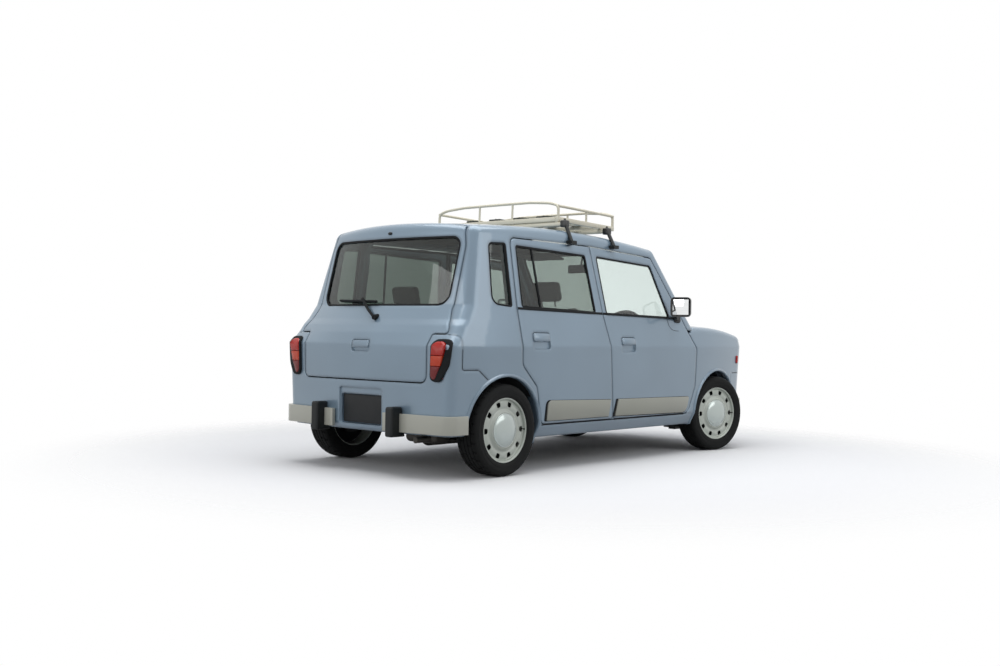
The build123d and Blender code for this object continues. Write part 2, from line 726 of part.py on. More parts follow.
wheel_plane = Plane(origin=(440, -345, 830), z_dir=(-cos(radians(28)), 0, sin(radians(28))))
ring = wheel_plane * Torus(178, 14, mode=Mode.PRIVATE)
spokes = wheel_plane * Box(350, 30, 16, mode=Mode.PRIVATE)
hub = wheel_plane * Cylinder(50, 40, mode=Mode.PRIVATE)
column = wheel_plane * Pos(0, 0, -110) * Cylinder(26, 200, mode=Mode.PRIVATE)
keep("steering_wheel", ring + spokes + hub + (column - dash))

# ---------------------------------------------------------------- roof rack
def tilted(shape):
    """The rack drops towards the front, in line with the roof."""
    return shape.rotate(Axis((rack_rear, 0, tray_low), (0, 1, 0)), rack_tilt)


def chain(points, radius):
    """Bent round bar, as straight runs between the points."""
    bar = None
    for start, end in zip(points, points[1:]):
        run = rod(start, end, radius)
        bar = run if bar is None else bar + run
    return bar


rack = block((rack_rear, -rack_half, tray_low), (rack_front, rack_half, tray_high))
rack = rack - block((rack_rear + tray_beam, -rack_half + tray_beam, 1500), (
    rack_front - tray_beam, rack_half - tray_beam, 1600))
for x in (-372, -196, -20):
    rack = rack + block((x - 14, -510, board_low - 22), (x + 14, 510, board_low))
boards = [tilted(block((board_rear, y - board_wide / 2, board_low), (board_front, y + board_wide / 2, board_high)))
          for y in (-312, -104, 104, 312)]
group("rack_boards", boards)
for x in (rack_rear + rail_radius, rack_front - rail_radius):
    side = rack_half - rail_radius
    hoop = [(x, side, tray_high), (x, side, rail_z), (x, 450, 1659), (x, 290, 1672), (x, -290, 1672),
            (x, -450, 1659), (x, -side, rail_z), (x, -side, tray_high)]
    rack = rack + chain(hoop, rail_radius)
    for y in (-140, 150):
        rack = rack + rod((x, y, tray_high - 8), (x, y, 1672), post_radius)
for y in (-rack_half + rail_radius, rack_half - rail_radius):
    rack = rack + rod((rack_rear + rail_radius, y, rail_z), (rack_front - rail_radius, y, rail_z), rail_radius)
rack = tilted(rack)
for bar in cross_bars:
    rack = rack + block((bar.x - 16, -590, bar.low), (bar.x + 16, 590, bar.low + 22))
    for y in (-515, 515):
        rack = rack + block((bar.x - 12, y - 10, bar.low), (bar.x + 12, y + 10, tray_low + 12))
keep("rack_frame", rack)
feet = []
for bar in cross_bars:
    foot = rod((bar.x, -580, bar.low + 11), (bar.clamp_x, -655, 1402), 12) - rack
    clamp = block((bar.clamp_x - 26, -676, 1386), (bar.clamp_x + 26, -600, 1408))
    feet.append((foot + clamp) - outer)
group("rack_feet", feet + [left_of(foot) for foot in feet])

os.makedirs("parts", exist_ok=True)
for name, shape in parts.items():
    export_step(shape, f"parts/{name}.step")
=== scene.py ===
import bpy
import bmesh
import json
import math
from mathutils import Matrix, Vector

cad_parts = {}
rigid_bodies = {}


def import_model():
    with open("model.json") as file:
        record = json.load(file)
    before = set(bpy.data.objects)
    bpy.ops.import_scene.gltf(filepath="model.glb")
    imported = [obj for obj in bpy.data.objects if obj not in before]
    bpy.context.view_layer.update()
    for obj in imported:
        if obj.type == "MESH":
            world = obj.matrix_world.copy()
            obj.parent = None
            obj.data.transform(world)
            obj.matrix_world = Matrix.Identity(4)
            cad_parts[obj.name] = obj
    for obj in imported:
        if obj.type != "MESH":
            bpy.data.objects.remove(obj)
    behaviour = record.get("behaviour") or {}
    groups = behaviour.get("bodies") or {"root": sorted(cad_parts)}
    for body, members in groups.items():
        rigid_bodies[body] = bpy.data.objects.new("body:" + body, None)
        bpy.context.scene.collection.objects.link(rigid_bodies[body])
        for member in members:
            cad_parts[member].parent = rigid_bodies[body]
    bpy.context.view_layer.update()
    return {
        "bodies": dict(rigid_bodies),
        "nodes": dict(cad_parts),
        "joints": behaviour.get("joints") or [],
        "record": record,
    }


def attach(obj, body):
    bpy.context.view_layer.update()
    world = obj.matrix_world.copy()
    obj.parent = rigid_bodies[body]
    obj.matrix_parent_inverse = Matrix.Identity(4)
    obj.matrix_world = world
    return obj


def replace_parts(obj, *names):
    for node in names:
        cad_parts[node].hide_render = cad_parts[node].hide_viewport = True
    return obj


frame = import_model()
nodes = frame["nodes"]
scene = bpy.context.scene
print("frame loaded:", len(nodes), "nodes")


# camera: where it stands, and its own right, up and backward directions
view = {"place": (-6.1554, -5.0607, 0.8324), "heading": 41.459, "tilt": -0.049, "roll": 0.931, "lens": 41.32}


def addCamera(v):
    heading, tilt, roll = (math.radians(v[k]) for k in ("heading", "tilt", "roll"))
    ahead = Vector((math.cos(tilt) * math.cos(heading), math.cos(tilt) * math.sin(heading), math.sin(tilt)))
    side = ahead.cross(Vector((0, 0, 1))).normalized()
    above = side.cross(ahead)
    right = side * math.cos(roll) + above * math.sin(roll)
    up = above * math.cos(roll) - side * math.sin(roll)
    turn = Matrix((right, up, -ahead)).transposed().to_4x4()
    data = bpy.data.cameras.new("mainCamera")
    data.lens = v["lens"]
    data.sensor_width = 36
    data.clip_start = 0.05
    data.clip_end = 60
    camera = bpy.data.objects.new("mainCamera", data)
    camera.matrix_world = Matrix.Translation(v["place"]) @ turn
    scene.collection.objects.link(camera)
    scene.camera = camera


addCamera(view)


# ---- material helpers
def linear(red, green, blue):
    # screen colour 0-255 to the renderer's own scale
    return tuple((c / 255 / 12.92) if c / 255 <= 0.04045 else ((c / 255 + 0.055) / 1.055) ** 2.4
                 for c in (red, green, blue)) + (1.0,)


def newMaterial(name):
    material = bpy.data.materials.new(name)
    material.use_nodes = True
    tree = material.node_tree
    tree.nodes.clear()
    out = tree.nodes.new("ShaderNodeOutputMaterial")
    shader = tree.nodes.new("ShaderNodeBsdfPrincipled")
    tree.links.new(shader.outputs[0], out.inputs[0])
    place = tree.nodes.new("ShaderNodeTexCoord").outputs["Object"]
    return material, tree, shader, place


def stretch(tree, place, scale):
    mapping = tree.nodes.new("ShaderNodeMapping")
    mapping.inputs["Scale"].default_value = scale
    tree.links.new(place, mapping.inputs["Vector"])
    return mapping.outputs[0]


def noise(tree, place, scale, detail=2.0):
    node = tree.nodes.new("ShaderNodeTexNoise")
    node.inputs["Scale"].default_value = scale
    node.inputs["Detail"].default_value = detail
    tree.links.new(place, node.inputs["Vector"])
    return node.outputs["Fac"]


def wave(tree, place, scale, direction, distortion=0.0):
    node = tree.nodes.new("ShaderNodeTexWave")
    node.bands_direction = direction
    node.inputs["Scale"].default_value = scale
    node.inputs["Distortion"].default_value = distortion
    tree.links.new(place, node.inputs["Vector"])
    return node.outputs["Fac"]


def blendColours(tree, factor, low, high):
    ramp = tree.nodes.new("ShaderNodeValToRGB")
    ramp.color_ramp.elements[0].position = 0.3
    ramp.color_ramp.elements[1].position = 0.7
    ramp.color_ramp.elements[0].color = low
    ramp.color_ramp.elements[1].color = high
    tree.links.new(factor, ramp.inputs[0])
    return ramp.outputs[0]


def relief(tree, shader, height, strength, distance, blunt=0.0):
    bump = tree.nodes.new("ShaderNodeBump")
    if blunt:
        rounded = tree.nodes.new("ShaderNodeBevel")
        rounded.samples = 6
        rounded.inputs["Radius"].default_value = blunt
        tree.links.new(rounded.outputs[0], bump.inputs["Normal"])
    bump.inputs["Strength"].default_value = strength
    bump.inputs["Distance"].default_value = distance
    tree.links.new(height, bump.inputs["Height"])
    tree.links.new(bump.outputs[0], shader.inputs["Normal"])


def between(tree, factor, low, high):
    span = tree.nodes.new("ShaderNodeMapRange")
    span.inputs["To Min"].default_value = low
    span.inputs["To Max"].default_value = high
    tree.links.new(factor, span.inputs["Value"])
    return span.outputs[0]


def shade(colour, factor):
    return tuple(min(c * factor, 1.0) for c in colour[:3]) + (1.0,)


# ---- finishes
def paint(name, colour, roughness=0.32, metallic=0.0, coat=1.0, flake=0.0, blunt=0.0):
    material, tree, shader, place = newMaterial(name)
    tone = noise(tree, place, 2.5, 1)
    tree.links.new(blendColours(tree, tone, shade(colour, 0.96), shade(colour, 1.04)),
                   shader.inputs["Base Color"])
    shader.inputs["Metallic"].default_value = metallic
    shader.inputs["Coat Weight"].default_value = coat
    shader.inputs["Coat Roughness"].default_value = 0.04
    fine = noise(tree, place, 1400 if flake else 300, 0)
    tree.links.new(between(tree, fine, roughness - 0.05, roughness + 0.07), shader.inputs["Roughness"])
    relief(tree, shader, fine, 0.04 + flake, 0.0004, blunt)
    return material


def moulded(name, colour, roughness=0.55, grain=900, depth=0.25):
    material, tree, shader, place = newMaterial(name)
    pebble = noise(tree, place, grain, 3)
    tree.links.new(blendColours(tree, noise(tree, place, 9, 2), shade(colour, 0.88), shade(colour, 1.12)),
                   shader.inputs["Base Color"])
    tree.links.new(between(tree, pebble, roughness - 0.08, roughness + 0.1), shader.inputs["Roughness"])
    shader.inputs["Specular IOR Level"].default_value = 0.25
    relief(tree, shader, pebble, depth, 0.0005)
    return material


def pane(name, tint, roughness=0.0):
    material, tree, shader, place = newMaterial(name)
    film = noise(tree, place, 3, 1)
    tree.links.new(blendColours(tree, film, shade(tint, 0.97), tint), shader.inputs["Base Color"])
    shader.inputs["Transmission Weight"].default_value = 1.0
    shader.inputs["Roughness"].default_value = roughness
    shader.inputs["IOR"].default_value = 1.45
    return material


def rubber(name, colour):
    material, tree, shader, place = newMaterial(name)
    dust = noise(tree, place, 14, 4)
    tree.links.new(blendColours(tree, dust, shade(colour, 0.8), shade(colour, 1.3)),
                   shader.inputs["Base Color"])
    pits = noise(tree, place, 700, 3)
    tree.links.new(between(tree, pits, 0.75, 0.95), shader.inputs["Roughness"])
    shader.inputs["Specular IOR Level"].default_value = 0.25
    relief(tree, shader, pits, 0.3, 0.0006)
    return material


def metal(name, colour, roughness, scratch=60):
    material, tree, shader, place = newMaterial(name)
    shader.inputs["Metallic"].default_value = 1.0
    streak = noise(tree, stretch(tree, place, (1, 1, 12)), scratch, 3)
    tree.links.new(blendColours(tree, streak, shade(colour, 0.85), colour), shader.inputs["Base Color"])
    tree.links.new(between(tree, streak, roughness * 0.7, roughness * 1.3), shader.inputs["Roughness"])
    relief(tree, shader, streak, 0.05, 0.0003)
    return material


def woven(name, colour, thread=520):
    material, tree, shader, place = newMaterial(name)
    across = wave(tree, place, thread, "X", 1.5)
    along = wave(tree, place, thread, "Z", 1.5)
    cross = tree.nodes.new("ShaderNodeMath")
    cross.operation = "MAXIMUM"
    tree.links.new(across, cross.inputs[0])
    tree.links.new(along, cross.inputs[1])
    tree.links.new(blendColours(tree, cross.outputs[0], shade(colour, 0.7), shade(colour, 1.15)),
                   shader.inputs["Base Color"])
    shader.inputs["Roughness"].default_value = 0.9
    shader.inputs["Sheen Weight"].default_value = 0.3
    shader.inputs["Sheen Roughness"].default_value = 0.5
    relief(tree, shader, cross.outputs[0], 0.5, 0.0008)
    return material


def lens(name, colour, flutes=160):
    material, tree, shader, place = newMaterial(name)
    ribs = wave(tree, place, flutes, "Y")
    tree.links.new(blendColours(tree, ribs, shade(colour, 0.75), shade(colour, 1.2)),
                   shader.inputs["Base Color"])
    shader.inputs["Roughness"].default_value = 0.2
    shader.inputs["Specular IOR Level"].default_value = 0.3
    shader.inputs["Coat Weight"].default_value = 0.2
    shader.inputs["Coat Roughness"].default_value = 0.03
    shader.inputs["Subsurface Weight"].default_value = 0.06
    shader.inputs["Subsurface Radius"].default_value = (0.02, 0.006, 0.003)
    shader.inputs["Subsurface Scale"].default_value = 0.4
    relief(tree, shader, ribs, 0.15, 0.0008)
    return material


finishes = {
    "bodyPaint": paint("bodyPaint", linear(121, 142, 159), 0.34, 0.28, 0.75, 0.05, 0.028),
    "beigePaint": paint("beigePaint", linear(184, 184, 172), 0.4, 0.0, 0.4),
    "claddingPaint": paint("claddingPaint", linear(160, 161, 150), 0.42, 0.0, 0.4),
    "wheelWhite": paint("wheelWhite", linear(196, 202, 192), 0.35, 0.0, 0.6, 0.0, 0.003),
    "capSilver": paint("capSilver", linear(182, 192, 188), 0.18, 0.45, 1.0),
    "rackCream": paint("rackCream", linear(212, 206, 186), 0.42, 0.0, 0.3),
    "blackPlastic": moulded("blackPlastic", linear(28, 31, 32), 0.5),
    "glossBlack": paint("glossBlack", linear(14, 16, 16), 0.3, 0.0, 0.15),
    "boardDark": moulded("boardDark", linear(60, 62, 57), 0.6, 400),
    "interiorPlastic": moulded("interiorPlastic", linear(112, 108, 100), 0.62, 1100),
    "headliner": moulded("headliner", linear(128, 126, 120), 0.9, 500),
    "carpet": moulded("carpet", linear(62, 61, 60), 0.95, 700, 0.6),
    "undercoat": moulded("undercoat", linear(52, 54, 56), 0.75, 240, 0.5),
    "chassisBlack": moulded("chassisBlack", linear(34, 35, 36), 0.5, 300),
    "tyreRubber": rubber("tyreRubber", linear(17, 18, 18)),
    "sealRubber": rubber("sealRubber", linear(22, 24, 26)),
    "privacyGlass": pane("privacyGlass", linear(142, 153, 147)),
    "clearGlass": pane("clearGlass", linear(240, 247, 245)),
    "mirrorGlass": metal("mirrorGlass", linear(240, 242, 242), 0.03, 5),
    "brightMetal": metal("brightMetal", linear(200, 202, 200), 0.18),
    "dullSteel": metal("dullSteel", linear(66, 64, 61), 0.55),
    "iron": metal("iron", linear(96, 96, 94), 0.6),
    "seatCloth": woven("seatCloth", linear(92, 86, 80)),
    "lampRed": lens("lampRed", linear(184, 24, 8)),
    "lampOrange": lens("lampOrange", linear(206, 58, 10)),
    "lampDeepRed": lens("lampDeepRed", linear(122, 8, 10)),
    "lampAmber": lens("lampAmber", linear(224, 122, 22)),
    "lampClear": lens("lampClear", linear(226, 230, 230), 120),
    "plateDark": moulded("plateDark", linear(28, 30, 32), 0.45, 300, 0.1),
}
cadFinish = {
    "bodyPaint": ["side_frame_right", "side_frame_left", "roof_panel", "hood", "front_fender_right",
                  "front_fender_left", "front_bumper", "rear_bumper", "hatch", "front_door_right",
                  "front_door_left", "rear_door_right", "rear_door_left"],
    "privacyGlass": ["hatch_glass", "quarter_windows", "rear_door_glass_right", "rear_door_glass_left"],
    "clearGlass": ["windshield", "front_door_glass_right", "front_door_glass_left"],
    "beigePaint": ["bumper_bars"],
    "blackPlastic": ["overriders", "grille", "rack_feet", "door_mirror_right", "door_mirror_left",
                     "steering_wheel"],
    "lampClear": ["headlights"],
    "lampRed": ["tail_lamps"],
    "undercoat": ["floor_pan", "firewall"],
    "chassisBlack": ["front_chassis", "front_suspension", "knuckle_right", "knuckle_left", "rear_axle",
                     "fuel_tank"],
    "iron": ["engine"],
    "dullSteel": ["exhaust"],
    "tyreRubber": ["front_tyre_right", "front_tyre_left", "rear_tyre_right", "rear_tyre_left"],
    "wheelWhite": ["front_rim_right", "front_rim_left", "rear_rim_right", "rear_rim_left"],
    "interiorPlastic": ["dashboard"],
    "seatCloth": ["seats"],
    "rackCream": ["rack_frame"],
    "boardDark": ["rack_boards"],
}
for finish, names in cadFinish.items():
    for name in names:
        nodes[name].data.materials.clear()
        nodes[name].data.materials.append(finishes[finish])
print("finishes on", sum(len(names) for names in cadFinish.values()), "nodes")


# ---- the body's own surface, so that fittings sit on it
# height, half width, straight from and to, rear face, its fall and half, front face, its fall and half
lowShape = [
    (0.205, 0.668, -1.0, 0.760, -1.618, 0.036, 0.650, 1.660, 0.090, 0.600),
    (0.285, 0.713, -1.0, 0.760, -1.656, 0.036, 0.692, 1.704, 0.090, 0.640),
    (0.750, 0.737, -1.0, 0.760, -1.662, 0.036, 0.716, 1.712, 0.090, 0.664),
    (0.820, 0.7251, -1.0, 0.760, -1.640, 0.078, 0.705, 1.706, 0.090, 0.656),
    (0.865, 0.7174, -1.0, 0.742, -1.612, 0.076, 0.698, 1.698, 0.090, 0.649),
]
highShape = [
    (0.865, 0.7174, -1.0, 0.742, -1.612, 0.076, 0.698, 0.918, 0.069, 0.712),
    (0.900, 0.7115, -1.0, 0.690, -1.587, 0.085, 0.692, 0.890, 0.069, 0.706),
    (0.985, 0.697, -1.0, 0.640, -1.537, 0.087, 0.680, 0.823, 0.067, 0.691),
    (1.530, 0.612, -1.0, 0.230, -1.406, 0.084, 0.598, 0.392, 0.042, 0.607),
]


def arcFall(run, length, fall):
    radius = (length * length + fall * fall) / (2 * fall)
    run = min(abs(run), radius)
    return radius - math.sqrt(radius * radius - run * run)


def sideAt(x, row):
    height, half, straightRear, straightFront, rearX, rearFall, rearHalf, frontX, frontFall, frontHalf = row
    if x < straightRear:
        return half - arcFall(straightRear - x, straightRear - rearX - rearFall, half - rearHalf)
    if x > straightFront:
        return half - arcFall(x - straightFront, frontX - frontFall - straightFront, half - frontHalf)
    return half


def rearAt(y, row):
    return row[4] + arcFall(y, row[6], row[5])


def frontAt(y, row):
    return row[7] - arcFall(y, row[9], row[8])


def atHeight(z, measure, place):
    rows = lowShape if z < 0.865 or (place == "nose") else highShape
    z = min(max(z, rows[0][0]), 2.0)
    lower, upper = next(((a, b) for a, b in zip(rows, rows[1:]) if z <= b[0]), rows[-2:])
    share = (z - lower[0]) / (upper[0] - lower[0])
    return measure(lower) * (1 - share) + measure(upper) * share


def onRight(co):
    return Vector((co.x, -(atHeight(co.y, lambda row: sideAt(co.x, row), "side") + co.z), co.y))


def onTail(co):
    return Vector((atHeight(co.y, lambda row: rearAt(co.x, row), "tail") - co.z, co.x, co.y))


def onNose(co):
    return Vector((atHeight(co.y, lambda row: frontAt(co.x, row), "nose") + co.z, co.x, co.y))


def onScreen(co):
    return Vector((atHeight(co.y, lambda row: frontAt(co.x, row), "screen") + co.z, co.x, co.y))


cornerReach = 0.064
plans = {}


def planAt(row):
    # the right-hand outline at one height, from the middle of the tail round the corner to the straight side
    if row[0] not in plans:
        height, half, straightRear, straightFront, rearX, rearFall, rearHalf = row[:7]
        inner = rearHalf - cornerReach
        tailRun = [Vector((rearAt(inner * k / 24, row), -inner * k / 24)) for k in range(25)]
        start = rearX + rearFall + cornerReach
        stations = [start + (straightRear - start) * k / 24 for k in range(25)]
        sideRun = [Vector((x, -sideAt(x, row))) for x in stations]
        peak = Vector((rearX + rearFall, -rearHalf))
        bend = []
        for k in range(1, 12):
            t = k / 12
            weights = ((1 - t) ** 2, 1.44 * t * (1 - t), t * t)
            pulled = tailRun[-1] * weights[0] + peak * weights[1] + sideRun[0] * weights[2]
            bend.append(pulled / sum(weights))
        plans[row[0]] = tailRun + bend + sideRun
    return plans[row[0]]


def along(points, run):
    for a, b in zip(points, points[1:]):
        step = (b - a).length
        if run <= step:
            return a + (b - a) * (run / step), (b - a).normalized()
        run -= step
    return points[-1], (points[-1] - points[-2]).normalized()


def crossing(points, x):
    # half width where the outline passes x
    a, b = next(((a, b) for a, b in zip(points, points[1:]) if a.x <= x <= b.x and b.x > a.x), points[-2:])
    share = (x - a.x) / (b.x - a.x)
    return a.y * (1 - share) + b.y * share


def roundTail(co):
    # co is the distance round from the middle of the tail, the height and the distance off
    spot = atHeight(co.y, lambda row: along(planAt(row), co.x)[0], "side")
    ahead = atHeight(co.y, lambda row: along(planAt(row), co.x)[1], "side").normalized()
    off = Vector((ahead.y, -ahead.x)) * co.z
    return Vector((spot.x + off.x, spot.y + off.y, co.y))


def onCorner(x, z, off=0.0):
    return Vector((x, atHeight(z, lambda row: crossing(planAt(row), x), "side") - off, z))


# ---- modelling helpers
def edgesOf(verts):
    # each edge once, in the same order every run, which a set would not keep
    return list(dict.fromkeys(e for v in verts for e in v.link_edges))


def roundEdges(bm, edges, radius, segments=2, **more):
    bmesh.ops.bevel(bm, geom=edges, offset=radius, offset_type="OFFSET", segments=segments, profile=0.5,
                    affect="EDGES", material=-1, **more)


def revolve(bm, section, axis, steps, angle=math.tau, closed=True):
    # turns a line of vertices round an axis through the origin
    edges = [bm.edges.new(pair) for pair in zip(section, section[1:])]
    bmesh.ops.spin(bm, geom=section + edges, cent=(0, 0, 0), axis=axis, angle=angle, steps=steps,
                   use_merge=closed, use_duplicate=False)


def stud(bm, place, base, top, tall, sides):
    # a short round cap, standing on its base
    bmesh.ops.create_cone(bm, segments=sides, radius1=base, radius2=top, depth=tall, cap_ends=True,
                          matrix=place)


def outline(bm, corners, spacing=0.0):
    # corners are (across, up, radius); the face is flat, ready to be laid on a surface
    verts = [bm.verts.new((a, b, 0)) for a, b, radius in corners]
    face = bm.faces.new(verts)
    for i, vert in enumerate(verts):
        radius = corners[i][2]
        if radius:
            before = Vector(corners[i - 1][:2]) - Vector(corners[i][:2])
            after = Vector(corners[(i + 1) % len(corners)][:2]) - Vector(corners[i][:2])
            cut = radius / math.tan(before.angle(after) / 2)
            bmesh.ops.bevel(bm, geom=[vert], offset=cut, offset_type="OFFSET", segments=6, profile=0.5,
                            affect="VERTICES", material=-1)
    if spacing:
        for edge in list(bm.edges):
            cuts = int(edge.calc_length() / spacing)
            if cuts:
                bmesh.ops.subdivide_edges(bm, edges=[edge], cuts=cuts)
    return list(bm.faces)


def hollow(bm, faces, width):
    bmesh.ops.inset_region(bm, faces=faces, thickness=width, use_even_offset=True, use_boundary=True)
    bmesh.ops.delete(bm, geom=faces, context="FACES")
    return list(bm.faces)


def thicken(bm, low, high, edge=0.0, segments=2):
    bmesh.ops.translate(bm, verts=bm.verts, vec=(0, 0, low))
    top = bmesh.ops.extrude_face_region(bm, geom=list(bm.faces), use_keep_orig=True)
    raised = [item for item in top["geom"] if isinstance(item, bmesh.types.BMVert)]
    bmesh.ops.translate(bm, verts=raised, vec=(0, 0, high - low))
    bmesh.ops.recalc_face_normals(bm, faces=bm.faces)
    if edge:
        rim = [e for e in bm.edges if e.verts[0].co.z > high - 1e-6 and e.verts[1].co.z > high - 1e-6
               and len(e.link_faces) == 2 and e.calc_face_angle(0) > 1.0]
        roundEdges(bm, rim, edge, segments)


def lay(bm, where):
    for vert in bm.verts:
        vert.co = where(vert.co)


def toObject(bm, name, finish, body, slotName, sharp=40, keep=False):
    # makes the mesh a piece that rides on a body, and lets the bmesh go unless it is used again
    bmesh.ops.recalc_face_normals(bm, faces=bm.faces)
    mesh = bpy.data.meshes.new(name)
    bm.to_mesh(mesh)
    if not keep:
        bm.free()
    for polygon in mesh.polygons:
        polygon.use_smooth = True
    mesh.set_sharp_from_angle(angle=math.radians(sharp))
    mesh.materials.append(finishes[finish])
    piece = bpy.data.objects.new(name, mesh)
    scene.collection.objects.link(piece)
    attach(piece, body)
    return piece


def bothSides(bm, name, finish, body, slotName, sharp=40):
    # the mesh is the right-hand piece; its mirror image rides on the body of the same name on the left
    right = toObject(bm, name + "_right", finish, body.replace("SIDE", "right"), slotName, sharp, True)
    bmesh.ops.scale(bm, vec=(1, -1, 1), verts=bm.verts)
    left = toObject(bm, name + "_left", finish, body.replace("SIDE", "left"), slotName, sharp)
    return right, left


def tube(bm, points, radius, sides=10, closed=False, bend=0.0, bendSteps=4):
    # a round bar along the points, its corners rounded by bend
    path = []
    for i, point in enumerate(points):
        here = Vector(point)
        if bend and (closed or 0 < i < len(points) - 1):
            before = (Vector(points[i - 1]) - here).normalized()
            after = (Vector(points[(i + 1) % len(points)]) - here).normalized()
            for k in range(bendSteps + 1):
                t = k / bendSteps
                path.append(here + before * bend * (1 - t) ** 2 + after * bend * t ** 2)
        else:
            path.append(here)
    ring = None
    first = None
    count = len(path)
    for i, here in enumerate(path):
        ahead = path[(i + 1) % count] if closed or i < count - 1 else here
        behind = path[i - 1] if closed or i > 0 else here
        along = (ahead - behind).normalized()
        if i == 0:
            turn = Vector((0, 0, 1)).rotation_difference(along)
        else:
            turn = last.rotation_difference(along) @ turn
        last = along
        made = bmesh.ops.create_circle(bm, segments=sides, radius=radius)["verts"]
        bmesh.ops.transform(bm, matrix=Matrix.Translation(here) @ turn.to_matrix().to_4x4(), verts=made)
        edges = edgesOf(made)
        if ring:
            bmesh.ops.bridge_loops(bm, edges=ring + edges)
        else:
            first = edges
        ring = edges
    if closed:
        bmesh.ops.bridge_loops(bm, edges=ring + first)
    else:
        bmesh.ops.contextual_create(bm, geom=first)
        bmesh.ops.contextual_create(bm, geom=ring)


def box(bm, low, high, edge=0.0, segments=2):
    made = bmesh.ops.create_cube(bm, size=1)["verts"]
    size = Vector(high) - Vector(low)
    middle = (Vector(high) + Vector(low)) / 2
    bmesh.ops.scale(bm, vec=size, verts=made)
    bmesh.ops.translate(bm, vec=middle, verts=made)
    if edge:
        roundEdges(bm, edgesOf(made), edge, segments)


# ---- window rubbers: a thin frame inside each opening, over the edge of the glass
windows = {
    "frontWindowRubber": ([(-0.196, 0.956, 0.018), (0.542, 0.944, 0.02), (0.370, 1.300, 0.036),
                           (-0.246, 1.328, 0.02)], onRight, "front_door_SIDE"),
    "rearWindowRubber": ([(-0.302, 0.959, 0.018), (-0.355, 1.328, 0.018), (-1.032, 1.348, 0.018),
                          (-1.028, 0.979, 0.018)], onRight, "rear_door_SIDE"),
    "quarterRubber": ([(-1.112, 1.356, 0.018), (-1.108, 0.976, 0.018), (-1.284, 0.990, 0.06),
                       (-1.262, 1.350, 0.036)], onRight, "car_body"),
    "hatchGlassRubber": ([(-0.543, 0.976, 0.076), (0.543, 0.976, 0.076), (0.543, 1.382, 0.066),
                          (-0.543, 1.382, 0.066)], onTail, "hatch"),
    "windshieldRubber": ([(-0.628, 0.932, 0.04), (0.628, 0.932, 0.04), (0.560, 1.408, 0.06),
                          (-0.560, 1.408, 0.06)], onScreen, "car_body"),
}
windowSeal = {"wide": 0.012, "deep": 0.0078, "edge": 0.001, "spacing": 0.05}

for name, (corners, where, body) in windows.items():
    bm = bmesh.new()
    faces = outline(bm, corners, windowSeal["spacing"])
    hollow(bm, faces, windowSeal["wide"])
    thicken(bm, -windowSeal["deep"], 0.0, windowSeal["edge"])
    lay(bm, where)
    make = bothSides if where is onRight else toObject
    make(bm, name, "sealRubber", body, "black_plastic")
print("window rubbers fitted")


